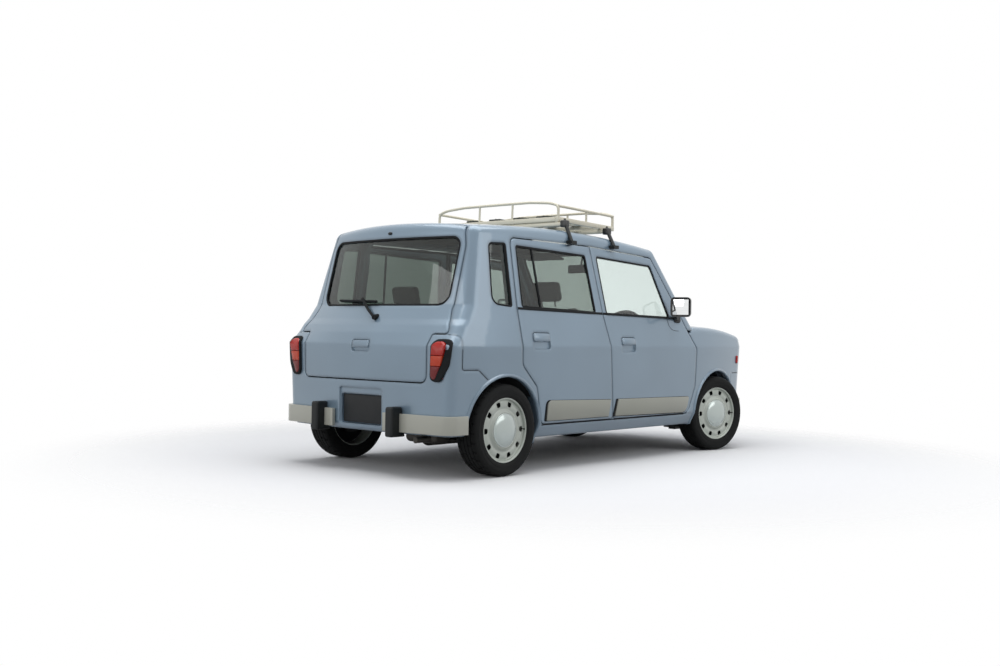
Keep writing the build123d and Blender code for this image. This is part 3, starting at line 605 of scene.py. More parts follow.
# ---- plates, strips and caps laid on the side of the body: corners, from and to in depth, edge rounding
sideFittings = {
    "frontBeltStrip": ([(-0.230, 0.9535, 0.002), (0.606, 0.9400, 0.002), (0.606, 0.9530, 0.002),
                        (-0.230, 0.9675, 0.002)],
                       -0.004, 0.004, 0.0015, "sealRubber", "front_door_SIDE", "black_plastic"),
    "rearBeltStrip": ([(-1.064, 0.9660, 0.002), (-0.240, 0.9535, 0.002), (-0.240, 0.9675, 0.002),
                       (-1.064, 0.9800, 0.002)],
                      -0.004, 0.004, 0.0015, "sealRubber", "rear_door_SIDE", "black_plastic"),
    "quarterDivider": ([(-0.853, 0.978, 0), (-0.839, 0.978, 0), (-0.872, 1.338, 0), (-0.886, 1.338, 0)],
                       -0.012, -0.003, 0.001, "sealRubber", "rear_door_SIDE", "black_plastic"),
    "quarterCover": ([(-1.126, 0.9755, 0.002), (-1.0745, 0.974, 0.002), (-1.0782, 1.360, 0.002),
                      (-1.130, 1.357, 0.002)],
                     -0.009, -0.0030, 0.0003, "sealRubber", "car_body", "black_plastic"),
    # black strip along the door bottoms: part rubber seal, part painted shade of the gap under the doors
    "sillSeal": ([(-0.842, 0.2775, 0.001), (0.720, 0.2775, 0.001), (0.720, 0.2830, 0.001),
                  (-0.842, 0.2830, 0.001)],
                 -0.006, 0.0015, 0.0006, "sealRubber", "car_body", "black_plastic"),
    "frontShadow": ([(-0.128, 0.299, 0.004), (0.752, 0.289, 0.07), (0.772, 0.404, 0.014),
                     (-0.096, 0.414, 0.006)],
                    -0.003, 0.003, 0.001, "sealRubber", "front_door_SIDE", "black_plastic"),
    "rearShadow": ([(-0.822, 0.300, 0.008), (-0.176, 0.300, 0.004), (-0.155, 0.413, 0.006),
                    (-0.812, 0.429, 0.034)],
                   -0.003, 0.003, 0.001, "sealRubber", "rear_door_SIDE", "black_plastic"),
    "frontCladding": ([(-0.106, 0.303, 0.004), (0.745, 0.293, 0.07), (0.768, 0.402, 0.014),
                       (-0.080, 0.412, 0.006)],
                      -0.002, 0.009, 0.004, "claddingPaint", "front_door_SIDE", "beige_paint"),
    "rearCladding": ([(-0.806, 0.303, 0.008), (-0.178, 0.303, 0.004), (-0.158, 0.411, 0.006),
                      (-0.800, 0.427, 0.034)],
                     -0.002, 0.009, 0.004, "claddingPaint", "rear_door_SIDE", "beige_paint"),
    "frontHandle": ([(-0.058, 0.762, 0.006), (0.088, 0.762, 0.006), (0.088, 0.807, 0.016),
                     (-0.058, 0.807, 0.016)],
                    -0.016, 0.007, 0.005, "bodyPaint", "front_door_SIDE", "body_paint"),
    "rearHandle": ([(-0.952, 0.780, 0.006), (-0.802, 0.780, 0.006), (-0.802, 0.829, 0.016),
                    (-0.952, 0.829, 0.016)],
                   -0.016, 0.007, 0.005, "bodyPaint", "rear_door_SIDE", "body_paint"),
    "frontDoorCard": ([(-0.150, 0.380, 0.03), (0.650, 0.380, 0.06), (0.650, 0.895, 0.03),
                       (-0.190, 0.895, 0.03)],
                      -0.0905, -0.0825, 0.003, "interiorPlastic", "front_door_SIDE", "black_plastic"),
    "rearDoorCard": ([(-0.780, 0.400, 0.05), (-0.200, 0.400, 0.03), (-0.262, 0.905, 0.03),
                      (-1.015, 0.905, 0.03), (-1.000, 0.660, 0.08)],
                     -0.0905, -0.0825, 0.003, "interiorPlastic", "rear_door_SIDE", "black_plastic"),
}
for name, (corners, low, high, edge, finish, body, slotName) in sideFittings.items():
    bm = bmesh.new()
    outline(bm, corners, 0.08)  # close enough together to follow the body's curve
    thicken(bm, low, high, edge)
    lay(bm, onRight)
    bothSides(bm, name, finish, body, slotName)
# a dark seal behind the seam of each door
doorSeams = {
    "front": [(-0.118, 0.285, 0.026), (0.772, 0.285, 0.074), (0.849, 0.470, 0.060), (0.846, 0.730, 0.060),
              (0.742, 0.862, 0.040), (0.640, 1.012, 0.030), (0.380, 1.352, 0.040), (-0.300, 1.386, 0.008),
              (-0.232, 0.951, 0.200), (-0.183, 0.755, 0.300)],
    "rear": [(-0.118, 0.285, 0.026), (-0.183, 0.755, 0.300), (-0.232, 0.951, 0.200), (-0.300, 1.386, 0.008),
             (-1.074, 1.388, 0.040), (-1.070, 0.978, 0.200), (-1.046, 0.640, 0.060), (-0.905, 0.511, 0.060),
             (-0.842, 0.285, 0.020)],
    "spacing": 0.05, "out": 0.006, "wide": 0.016, "low": -0.0312, "high": -0.0255, "edge": 0.002,
}
for end in ("front", "rear"):
    bm = bmesh.new()
    faces = outline(bm, doorSeams[end], doorSeams["spacing"])
    around = bmesh.ops.inset_region(bm, faces=faces, thickness=-doorSeams["out"], use_even_offset=True)
    bmesh.ops.delete(bm, geom=around["faces"], context="FACES")
    hollow(bm, list(bm.faces), doorSeams["wide"])
    thicken(bm, doorSeams["low"], doorSeams["high"], doorSeams["edge"])
    lay(bm, onRight)
    bothSides(bm, end + "DoorSeal", "sealRubber", "car_body", "black_plastic")
print("side fittings laid")


# ---- tail: lamps, handle, wiper, washer, plate
def tailPlate(name, corners, low, high, edge, finish, body, slotName, where=onTail, spacing=0.08):
    bm = bmesh.new()
    outline(bm, corners, spacing)
    thicken(bm, low, high, edge)
    bmesh.ops.triangulate(bm, faces=[f for f in bm.faces if len(f.verts) > 4])
    lay(bm, where)
    toObject(bm, name, finish, body, slotName)


tailLamp = {
    "surround": ([(0.562, 0.550, 0.036), (0.634, 0.550, 0.036), (0.690, 0.640, 0.08), (0.706, 0.740, 0.08),
                  (0.706, 0.789, 0.050), (0.570, 0.789, 0.042)],
                 -0.004, 0.0160, 0.006, "sealRubber", "black_plastic"),
    "upper": ([(0.574, 0.697, 0.002), (0.657, 0.697, 0.002), (0.668, 0.735, 0.02), (0.667, 0.775, 0.032),
               (0.581, 0.775, 0.034)], 0.003, 0.0205, 0.006, "lampRed", "lamp_red"),
    "middle": ([(0.572, 0.638, 0.002), (0.640, 0.638, 0.002), (0.657, 0.6955, 0.002), (0.574, 0.6955, 0.002)],
               0.003, 0.0195, 0.004, "lampOrange", "lamp_red"),
    "lower": ([(0.572, 0.562, 0.026), (0.604, 0.562, 0.022), (0.639, 0.6365, 0.002), (0.572, 0.6365, 0.002)],
              0.003, 0.0205, 0.006, "lampDeepRed", "lamp_red"),
}
for part, (corners, low, high, edge, finish, slotName) in tailLamp.items():
    bm = bmesh.new()
    outline(bm, corners, 0.012)  # fine enough to bend round the corner
    bmesh.ops.triangulate(bm, faces=bm.faces)
    thicken(bm, low, high, edge, 3)
    lay(bm, roundTail)
    bothSides(bm, "tailLamp_" + part, finish, "car_body", slotName)

tailPlates = {
    "hatchHandle": ([(-0.070, 0.730, 0.006), (0.070, 0.730, 0.006), (0.070, 0.773, 0.010),
                     (-0.070, 0.773, 0.010)],
                    -0.016, 0.004, 0.004, "bodyPaint", "hatch", "body_paint"),
    "plateCarrier": ([(-0.150, 0.304, 0.008), (0.150, 0.304, 0.008), (0.150, 0.434, 0.008),
                      (-0.150, 0.434, 0.008)],
                     -0.041, -0.022, 0.002, "sealRubber", "car_body", "black_plastic"),
    "numberPlate": ([(-0.165, 0.288, 0.008), (0.165, 0.288, 0.008), (0.165, 0.450, 0.008),
                     (-0.165, 0.450, 0.008)],
                    -0.022, -0.019, 0.001, "plateDark", "car_body", "black_plastic"),
}
for name, made in tailPlates.items():
    tailPlate(name, *made)


# shadow lines of the joints between fixed panels: distance round the tail, or x and z on the side
seams = {
    "lampPanelTop": (0.812, (0.645, 0.660, 0.675, 0.690, 0.705)),
    "lampPanelSide": [(-1.585, 0.811), (-1.568, 0.805), (-1.555, 0.792), (-1.549, 0.774), (-1.548, 0.730),
                      (-1.546, 0.680), (-1.545, 0.632), (-1.541, 0.620), (-1.530, 0.617), (-1.480, 0.617),
                      (-1.430, 0.616), (-1.412, 0.612), (-1.380, 0.590), (-1.340, 0.562)],
    "underMirror": [(0.506, 0.933), (0.510, 0.910), (0.519, 0.892), (0.534, 0.877), (0.556, 0.866),
                    (0.590, 0.861), (0.628, 0.859)],
    "nosePanel": [(1.430, 0.555), (1.460, 0.555), (1.490, 0.555), (1.520, 0.555)],
    "radius": 0.0016,
}


def seamLine(name, points, body="car_body"):
    bm = bmesh.new()
    tube(bm, points, seams["radius"], 6)
    bothSides(bm, name, "sealRubber", body, "black_plastic")


height, rounds = seams["lampPanelTop"]
seamLine("rearCornerSeam", [roundTail(Vector((run, height, 0))) for run in rounds]
         + [onCorner(x, z) for x, z in seams["lampPanelSide"]])
seamLine("mirrorLine", [onRight(Vector((x, z, 0))) for x, z in seams["underMirror"]], "front_door_SIDE")
seamLine("frontCornerSeam", [onRight(Vector((x, z, 0))) for x, z in seams["nosePanel"]])


# rear wiper: across, up and off the hatch
wiper = {
    "pivot": (-0.050, 0.908), "capRadius": 0.020, "capTop": 0.015, "capTall": 0.034, "capOff": 0.012,
    "arm": [(-0.050, 0.908, 0.022), (0.030, 0.955, 0.024), (0.118, 1.019, 0.018)], "armRadius": 0.0085,
    "bladeRight": (-0.010, 1.002), "bladeLeft": (0.345, 1.010), "bladeOff": 0.013, "bladeRadius": 0.0070,
    "lipRadius": 0.0024, "lip": (0.008, 0, -0.008),
    "nozzle": (0.0, 1.412), "nozzleRadius": 0.012,
}


def addWiper(w):
    bm = bmesh.new()
    base = onTail(Vector((*w["pivot"], -0.004)))
    turn = Matrix.Rotation(math.radians(-90), 4, "Y")
    stud(bm, Matrix.Translation(base - Vector((w["capOff"], 0, 0))) @ turn, w["capRadius"], w["capTop"],
         w["capTall"], 24)
    tube(bm, [onTail(Vector(spot)) for spot in w["arm"]], w["armRadius"], 10, bend=0.01)
    toObject(bm, "wiperArm", "sealRubber", "hatch", "black_plastic")
    bm = bmesh.new()
    (right, low), (left, high) = w["bladeRight"], w["bladeLeft"]
    blade = [onTail(Vector((y, low + (high - low) * (y - right) / (left - right), w["bladeOff"])))
             for y in (right, 0.06, 0.13, 0.2, 0.27, left)]
    tube(bm, blade, w["bladeRadius"], 8)
    tube(bm, [spot + Vector(w["lip"]) for spot in blade], w["lipRadius"], 6)
    toObject(bm, "wiperBlade", "sealRubber", "hatch", "black_plastic")
    bm = bmesh.new()
    nozzle = onTail(Vector((*w["nozzle"], 0)))
    bmesh.ops.create_icosphere(bm, subdivisions=3, radius=w["nozzleRadius"],
                               matrix=Matrix.Translation(nozzle))
    bmesh.ops.scale(bm, vec=(1, 1.4, 0.8), verts=bm.verts, space=Matrix.Translation(-nozzle))
    toObject(bm, "washerNozzle", "blackPlastic", "hatch", "black_plastic")


addWiper(wiper)
print("tail fitted")


# ---- wheels: tread and sidewall on each tyre, in the wheel's own place
tyreSection = [
    (0.178, 0.058), (0.181, 0.066), (0.192, 0.0745), (0.199, 0.0765), (0.201, 0.0785),
    (0.214, 0.0805), (0.2155, 0.0790), (0.226, 0.0818), (0.238, 0.0810), (0.2395, 0.0795), (0.248, 0.0790),
    (0.256, 0.0745), (0.262, 0.0680), (0.2655, 0.0580), (0.2662, 0.0440), (0.2600, 0.0425),
    (0.2600, 0.0395), (0.2668, 0.0380), (0.2670, 0.0160), (0.2605, 0.0145), (0.2605, 0.0105),
    (0.2670, 0.0090), (0.2670, 0.0),
]
wheelSet = {
    "rear": {"axle": -1.18, "pivot": 0.648, "turn": 0.0},
    "front": {"axle": 1.18, "pivot": 0.600, "turn": -11.0},
    "out": 0.648, "height": 0.267,
}
# slots: from and to across the tread, the radius they lie beyond, one in how many steps, how many steps early
tread = {"steps": 120, "margin": 0.0022, "depth": 0.005, "halfTurn": 2,
         "shoulder": (0.046, 0.066, 0.262, 4, 0), "rib": (0.017, 0.037, 0.264, 6, 1)}


def wheelPlace(end, sign):
    # from a wheel at the origin, its outer face towards -Y, to its place; sign -1 is the right-hand side
    w = wheelSet[end]
    turn = Matrix.Rotation(math.radians(w["turn"]), 4, "Z")
    flip = Matrix.Identity(4) if sign < 0 else Matrix.Scale(-1, 4, (0, 1, 0))
    out = Matrix.Translation((0, sign * (wheelSet["out"] - w["pivot"]), 0))
    return Matrix.Translation((w["axle"], sign * w["pivot"], wheelSet["height"])) @ turn @ out @ flip


def makeTyre(t):
    bm = bmesh.new()
    section = [bm.verts.new((0, -y, r)) for r, y in tyreSection]
    section += [bm.verts.new((0, y, r)) for r, y in reversed(tyreSection[:-1])]
    revolve(bm, section, (0, 1, 0), t["steps"])
    bmesh.ops.remove_doubles(bm, verts=bm.verts, dist=1e-5)
    bmesh.ops.recalc_face_normals(bm, faces=bm.faces)
    step = math.tau / t["steps"]
    for face in list(bm.faces):
        middle = face.calc_center_median()
        reach = math.hypot(middle.x, middle.z)
        turn = int(round(math.atan2(middle.z, middle.x) / step - 0.5)) % t["steps"]
        turn += t["halfTurn"] if middle.y > 0 else 0  # the two halves are staggered
        if any(near < abs(middle.y) < far and reach > least and (turn + first) % every == 0
               for near, far, least, every, first in (t["shoulder"], t["rib"])):
            bmesh.ops.inset_region(bm, faces=[face], thickness=t["margin"], use_even_offset=True)
            for v in list(face.verts):
                v.co -= Vector((v.co.x, 0, v.co.z)).normalized() * t["depth"]
    return bm


tyreMesh = makeTyre(tread)
for end in ("front", "rear"):
    for side, sign in (("right", -1), ("left", 1)):
        bm = tyreMesh.copy()
        bmesh.ops.transform(bm, matrix=wheelPlace(end, sign), verts=bm.verts)
        piece = toObject(bm, end + "Tyre_" + side, "tyreRubber", end + "_wheel_" + side, "tyre_rubber", 30)
        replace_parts(piece, end + "_tyre_" + side)
tyreMesh.free()
print("tyres made")


# ---- steel wheels: rolled lip, pressed disc with ten vents, domed cap
rim = {
    "lip": [(0.178, 0.020), (0.176, 0.052), (0.177, 0.064), (0.180, 0.0695), (0.185, 0.0712), (0.190, 0.0700),
            (0.1905, 0.0665), (0.187, 0.0650), (0.179, 0.0610), (0.178, 0.050)],
    "disc": [(0.1765, 0.056), (0.174, 0.0525), (0.171, 0.0510), (0.166, 0.0520), (0.160, 0.0540),
             (0.152, 0.0550), (0.144, 0.0552), (0.138, 0.0550), (0.132, 0.0525), (0.126, 0.0505),
             (0.119, 0.0515), (0.112, 0.0560), (0.107, 0.0605), (0.103, 0.0625), (0.098, 0.0615),
             (0.094, 0.058)],
    "cap": [(0.0965, 0.0600), (0.0985, 0.0650), (0.0975, 0.0680), (0.0945, 0.0694), (0.0925, 0.0688),
            (0.0880, 0.0715), (0.0780, 0.0752), (0.0620, 0.0785), (0.0420, 0.0808), (0.0210, 0.0820),
            (0.0, 0.0824)],
    # a black ring at the cap's edge: painted shade of the gap between cap and disc
    "groove": [(0.1040, 0.0600), (0.1045, 0.0640), (0.1020, 0.0646), (0.0985, 0.0640), (0.0980, 0.0600)],
    "barrel": [(0.175, 0.030), (0.1745, -0.030), (0.1765, -0.066), (0.190, -0.070), (0.190, -0.066),
               (0.179, -0.061), (0.178, -0.030), (0.178, 0.020)],
    "liner": [(0.1735, 0.030), (0.1700, 0.036), (0.120, 0.034), (0.090, 0.040), (0.090, 0.030),
              (0.1735, 0.024)],
    "valveStem": ([(0.1665, -0.048, 0), (0.1655, -0.060, 0), (0.1645, -0.072, 0)], 0.0030),
    "valveCap": ([(0.1645, -0.070, 0), (0.1640, -0.076, 0)], 0.0042),
    "vents": 10, "perVent": 12, "ventRings": (3, 7), "sheet": 0.0035,
    "swell": 0.0016, "swellAt": 0.150, "swellWide": 0.012, "pullOuter": 0.30, "pullInner": 0.55,
}


def spunRing(bm, points, steps):
    revolve(bm, [bm.verts.new((r, -y, 0)) for r, y in points], (0, 1, 0), steps)


def makeDisc(r):
    bm = bmesh.new()
    count = r["vents"] * r["perVent"]
    rings = []
    for radius, depth in r["disc"]:
        ring = []
        for k in range(count):
            turn = math.tau * k / count
            share = math.exp(-((radius - r["swellAt"]) / r["swellWide"]) ** 2)
            raised = r["swell"] * math.cos(r["vents"] * turn) * share
            ring.append(bm.verts.new((radius * math.cos(turn), -depth + raised, radius * math.sin(turn))))
        rings.append(ring)
    start, stop = r["ventRings"]
    for i, (outer, inner) in enumerate(zip(rings, rings[1:])):
        for k in range(count):
            if start <= i < stop and 4 <= (k + 6) % r["perVent"] < 8:
                continue
            bm.faces.new((outer[k], outer[(k + 1) % count], inner[(k + 1) % count], inner[k]))
    # the vents' corners are drawn in, most at the inner edge, so each is a rounded wedge
    for vent in range(r["vents"]):
        first = (vent * r["perVent"] + 4 - 6) % count
        for ring, pull in ((start, r["pullOuter"]), (stop, r["pullInner"])):
            for k, towards in ((first, first + 1), (first + 4, first + 3)):
                corner, beside = rings[ring][k % count], rings[ring][towards % count]
                inward = rings[ring + (1 if ring == start else -1)][towards % count]
                corner.co = corner.co.lerp((beside.co + inward.co) / 2, pull)
    bmesh.ops.recalc_face_normals(bm, faces=bm.faces)
    bmesh.ops.solidify(bm, geom=list(bm.faces), thickness=r["sheet"])
    return bm


def makeWheelPieces(r):
    disc = makeDisc(r)
    spunRing(disc, r["lip"] + r["barrel"], 120)
    bmesh.ops.remove_doubles(disc, verts=disc.verts, dist=1e-5)
    cap = bmesh.new()
    spunRing(cap, r["cap"], 96)
    bmesh.ops.remove_doubles(cap, verts=cap.verts, dist=1e-5)
    # painted shade: a black ring filling the gap round the cap
    groove = bmesh.new()
    spunRing(groove, r["groove"], 96)
    liner = bmesh.new()
    spunRing(liner, r["liner"], 60)
    valve = bmesh.new()
    for points, radius in (r["valveStem"], r["valveCap"]):
        tube(valve, points, radius, 12)
    return {
        "WheelDisc": (disc, "wheelWhite", "wheel_white", 32),
        "WheelCap": (cap, "capSilver", "wheel_white", 60),
        "CapGroove": (groove, "sealRubber", "black_plastic", 40),
        "VentLiner": (liner, "sealRubber", "black_plastic", 40),
        "Valve": (valve, "sealRubber", "black_plastic", 40),
    }


wheelPieces = makeWheelPieces(rim)
for end in ("front", "rear"):
    for side, sign in (("right", -1), ("left", 1)):
        for name, (mesh, finish, slotName, sharp) in wheelPieces.items():
            bm = mesh.copy()
            bmesh.ops.transform(bm, matrix=wheelPlace(end, sign), verts=bm.verts)
            piece = toObject(bm, end + name + "_" + side, finish, end + "_wheel_" + side, slotName, sharp)
            if name == "WheelDisc":
                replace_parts(piece, end + "_rim_" + side)
for mesh, finish, slotName, sharp in wheelPieces.values():
    mesh.free()
print("wheels made")


# ---- roof rack: bent tube rails, tray and cross bars, dropping to the front as the roof does
rack = {
    "rear": -0.494, "front": 0.106, "half": 0.534, "low": 1.538, "high": 1.568, "rail": 1.636, "drop": 1.8,
    "beam": 0.028, "edge": 0.004, "tube": 0.009, "post": 0.007, "sunk": 0.004,
    "slats": (-0.372, -0.196, -0.020), "slatHalf": (0.014, 0.51), "slatLow": 1.546, "slatEdge": 0.003,
    "hoopLift": 0.004, "hoopRise": [(0.450, 1.659), (0.290, 1.671), (0.0, 1.672)], "hoopBend": 0.030,
    "hoopPosts": (-0.140, 0.150), "hoopPostTop": 1.670,
    "railEnd": 0.006, "railShoulder": 0.05, "railLift": 0.001, "railBend": 0.02,
}
boards = {
    "across": (-0.312, -0.104, 0.104, 0.312), "half": 0.05, "rear": -0.388, "front": 0.010, "low": 1.576,
    "high": 1.596, "edge": 0.004,
    "packer": (0.012, 0.03, 1.566, 1.578),  # half deep and wide, underside and top
    "screw": (0.006, 0.005, 0.004, 1.5975),  # radius below and above, how tall, its height
}
# each cross bar's place and underside, the stays from it up to the tray, and the clamps at its ends
crossBars = {
    "bars": ((-0.478, 1.5085), (-0.030, 1.494)), "half": 0.590, "wide": 0.016, "tall": 0.022, "edge": 0.004,
    "stay": (0.515, 0.012, 0.010, 0.004, 0.002),
    "clampAt": 0.574, "clamp": (0.024, 0.022, -0.010, 0.034, 0.008),
    "bolt": (0.009, 0.007, 0.014, 0.038),
}
rackHinge = Matrix.Translation((rack["rear"], 0, rack["low"]))
rackTurn = rackHinge @ Matrix.Rotation(math.radians(rack["drop"]), 4, "Y") @ rackHinge.inverted()


def makeRack(r, c):
    bm = bmesh.new()
    rear, front, half, low, high, beam = (r[k] for k in ("rear", "front", "half", "low", "high", "beam"))
    for y in (-half, half - beam):
        box(bm, (rear, y, low), (front, y + beam, high), r["edge"])
    for x in (rear, front - beam):
        box(bm, (x, -half + beam, low), (x + beam, half - beam, high), r["edge"])
    deep, wide = r["slatHalf"]
    for x in r["slats"]:
        box(bm, (x - deep, -wide, r["slatLow"]), (x + deep, wide, high), r["slatEdge"])
    side, foot = half - r["tube"], high - r["sunk"]
    rise = [(side, foot), (side, r["rail"] + r["hoopLift"])] + r["hoopRise"]
    for x in (rear + r["tube"], front - r["tube"]):
        hoop = [(x, y, z) for y, z in rise] + [(x, -y, z) for y, z in reversed(rise[:-1])]
        tube(bm, hoop, r["tube"], 12, bend=r["hoopBend"], bendSteps=5)
        for y in r["hoopPosts"]:
            tube(bm, [(x, y, foot), (x, y, r["hoopPostTop"])], r["post"], 10)
    end, shoulder, rail = r["railEnd"], r["railShoulder"], r["rail"]
    for y in (-side, side):
        tube(bm, [(rear + end, y, rail), (rear + shoulder, y, rail + r["railLift"]),
                  (front - shoulder, y, rail + r["railLift"]), (front - end, y, rail)], r["tube"], 12,
             bend=r["railBend"])
        tube(bm, [((rear + front) / 2, y, foot), ((rear + front) / 2, y, rail)], r["post"], 10)
    bmesh.ops.transform(bm, matrix=rackTurn, verts=bm.verts)
    at, deep, wide, up, edge = c["stay"]
    for x, z in c["bars"]:
        box(bm, (x - c["wide"], -c["half"], z), (x + c["wide"], c["half"], z + c["tall"]), c["edge"])
        for y in (-at, at):
            box(bm, (x - deep, y - wide, z + up), (x + deep, y + wide, r["slatLow"]), edge)
    return bm


def makeBoards(b):
    bm = bmesh.new()
    deep, wide, low, high = b["packer"]
    base, top, tall, height = b["screw"]
    for y in b["across"]:
        box(bm, (b["rear"], y - b["half"], b["low"]), (b["front"], y + b["half"], b["high"]), b["edge"])
        for x in rack["slats"]:
            box(bm, (x - deep, y - wide, low), (x + deep, y + wide, high))
            stud(bm, Matrix.Translation((x, y, height)), base, top, tall, 12)
    bmesh.ops.transform(bm, matrix=rackTurn, verts=bm.verts)
    return bm


def makeClamps(c):
    # under the rails, where the feet meet the cross bars
    bm = bmesh.new()
    deep, wide, low, high, edge = c["clamp"]
    base, top, tall, up = c["bolt"]
    for x, z in c["bars"]:
        for y in (-c["clampAt"], c["clampAt"]):
            box(bm, (x - deep, y - wide, z + low), (x + deep, y + wide, z + high), edge, 3)
            stud(bm, Matrix.Translation((x, y, z + up)), base, top, tall, 16)
    return bm


piece = toObject(makeRack(rack, crossBars), "roofRack", "rackCream", "car_body", "rack_cream")
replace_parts(piece, "rack_frame")
piece = toObject(makeBoards(boards), "rackBoards", "boardDark", "car_body", "rack_boards")
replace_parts(piece, "rack_boards")
toObject(makeClamps(crossBars), "rackClamps", "glossBlack", "car_body", "black_plastic")
print("rack made")


# ---- wheel arch lips: a rolled edge round each opening, following the body's side
arches = {
    "rear": (-1.180, -18, 176), "front": (1.168, 4, 192), "middle": 0.268, "radius": 0.306, "steps": 40,
    "lip": 0.020, "proud": 0.010,
    "section": [(0.0, -0.020), (0.0, 0.5), (0.35, 1.0), (1.0, 0.35), (1.6, -0.10)],
}


def archLip(end):
    x, start, stop = arches[end]
    bm = bmesh.new()
    section = []
    for out, lift in arches["section"]:  # shares of the lip's width and height, or metres below the surface
        radius = arches["radius"] + out * arches["lip"]
        section.append(bm.verts.new((radius, 0, lift * arches["proud"] if lift > 0 else lift)))
    revolve(bm, section, (0, 0, 1), arches["steps"], math.radians(stop - start), False)
    bmesh.ops.rotate(bm, verts=bm.verts, cent=(0, 0, 0), matrix=Matrix.Rotation(math.radians(start), 3, "Z"))
    bmesh.ops.translate(bm, verts=bm.verts, vec=(x, arches["middle"], 0))
    return bm


for end in ("rear", "front"):
    bm = archLip(end)
    lay(bm, onRight)
    bothSides(bm, end + "ArchLip", "bodyPaint", "car_body", "body_paint", 60)
print("arch lips rolled")


# ---- bumper bars and overriders, with soft edges
def softened(node, name, finish, slotName, radius):
    # the CAD piece again, its edges rounded
    bm = bmesh.new()
    bm.from_mesh(nodes[node].data)
    bmesh.ops.remove_doubles(bm, verts=bm.verts, dist=1e-5)
    bmesh.ops.dissolve_limit(bm, angle_limit=math.radians(2), verts=bm.verts, edges=bm.edges)
    sharp = [e for e in bm.edges if len(e.link_faces) == 2 and e.calc_face_angle(0) > math.radians(40)]
    roundEdges(bm, sharp, radius, 4, clamp_overlap=True)
    bmesh.ops.triangulate(bm, faces=[f for f in bm.faces if len(f.verts) > 4])
    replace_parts(toObject(bm, name, finish, "car_body", slotName, 30), node)


softened("bumper_bars", "bumperBars", "beigePaint", "beige_paint", 0.009)
softened("overriders", "overRiders", "blackPlastic", "black_plastic", 0.010)


# ---- nose: lamps, marker lamps, grille ring
nose = {
    "lamp": (0.486, 0.688), "ringRadius": 0.085, "ringWide": 0.012, "ring": (-0.002, 0.008, 0.004),
    "lens": [(0.0, 0.012), (0.020, 0.0115), (0.040, 0.0100), (0.058, 0.0070), (0.0725, 0.0020),
             (0.0725, -0.002)],
    "turn": (0.52, 0.05, 0.575, 0.602, 0.012),
    "marker": [(1.482, 0.624, 0.014), (1.512, 0.624, 0.014), (1.512, 0.684, 0.014), (1.482, 0.684, 0.014)],
    "grille": [(-0.334, 0.618, 0.026), (0.334, 0.618, 0.026), (0.334, 0.746, 0.026), (-0.334, 0.746, 0.026)],
    "grilleWide": 0.012,
}


def addNoseLamps(n, side, sign):
    y, z = sign * n["lamp"][0], n["lamp"][1]
    low, high, edge = n["ring"]
    bm = bmesh.new()
    made = bmesh.ops.create_circle(bm, segments=48, radius=n["ringRadius"], cap_ends=True)
    bmesh.ops.translate(bm, verts=made["verts"], vec=(y, z, 0))
    hollow(bm, list(bm.faces), n["ringWide"])
    thicken(bm, low, high, edge, 3)
    lay(bm, onNose)
    toObject(bm, "headlampRing_" + side, "brightMetal", "car_body", "lamp_clear")
    bm = bmesh.new()
    revolve(bm, [bm.verts.new((r, 0, h)) for r, h in n["lens"]], (0, 0, 1), 48)
    bmesh.ops.remove_doubles(bm, verts=bm.verts, dist=1e-5)
    bmesh.ops.translate(bm, verts=bm.verts, vec=(y, z, 0))
    lay(bm, onNose)
    toObject(bm, "headlampLens_" + side, "lampClear", "car_body", "lamp_clear", 60)
    y, half, low, high, corner = n["turn"]
    y *= sign
    tailPlate("turnLamp_" + side, [(y - half, low, corner), (y + half, low, corner), (y + half, high, corner),
                                   (y - half, high, corner)],
              -0.003, 0.005, 0.003, "lampAmber", "car_body", "lamp_red", onNose, 0.03)


addNoseLamps(nose, "right", -1)
addNoseLamps(nose, "left", 1)
bm = bmesh.new()
outline(bm, nose["marker"], 0.02)
thicken(bm, -0.003, 0.009, 0.005, 3)
lay(bm, onRight)
bothSides(bm, "sideMarker", "lampRed", "car_body", "lamp_red")
bm = bmesh.new()
hollow(bm, outline(bm, nose["grille"], 0.05), nose["grilleWide"])
thicken(bm, -0.010, 0.006, 0.004, 3)
lay(bm, onNose)
toObject(bm, "grilleRing", "brightMetal", "car_body", "black_plastic")
print("nose fitted")


# ---- door mirrors: body-coloured shell, black frame and arm, glass facing back
mirrors = {
    "x": 0.536, "y": 0.800, "z": 1.022, "deep": 0.062, "wide": 0.142, "tall": 0.136, "turn": 16.0,
    "corner": 0.026, "taper": (0.80, 0.76), "frameDeep": 0.022, "lip": 0.015, "sunk": 0.006,
    "glassShare": (0.78, 0.76), "bulge": 0.0012, "bulgeHalf": (0.067, 0.05), "armRadius": 0.016,
    "arm": [(0.010, 0.045, -0.045), (0.040, 0.075, -0.068)], "armRoot": (0.090, -0.080, -0.004),
    "foot": [(0.045, -0.105, 0.02), (0.140, -0.110, 0.03), (0.125, -0.055, 0.02), (0.055, -0.045, 0.02)],
}


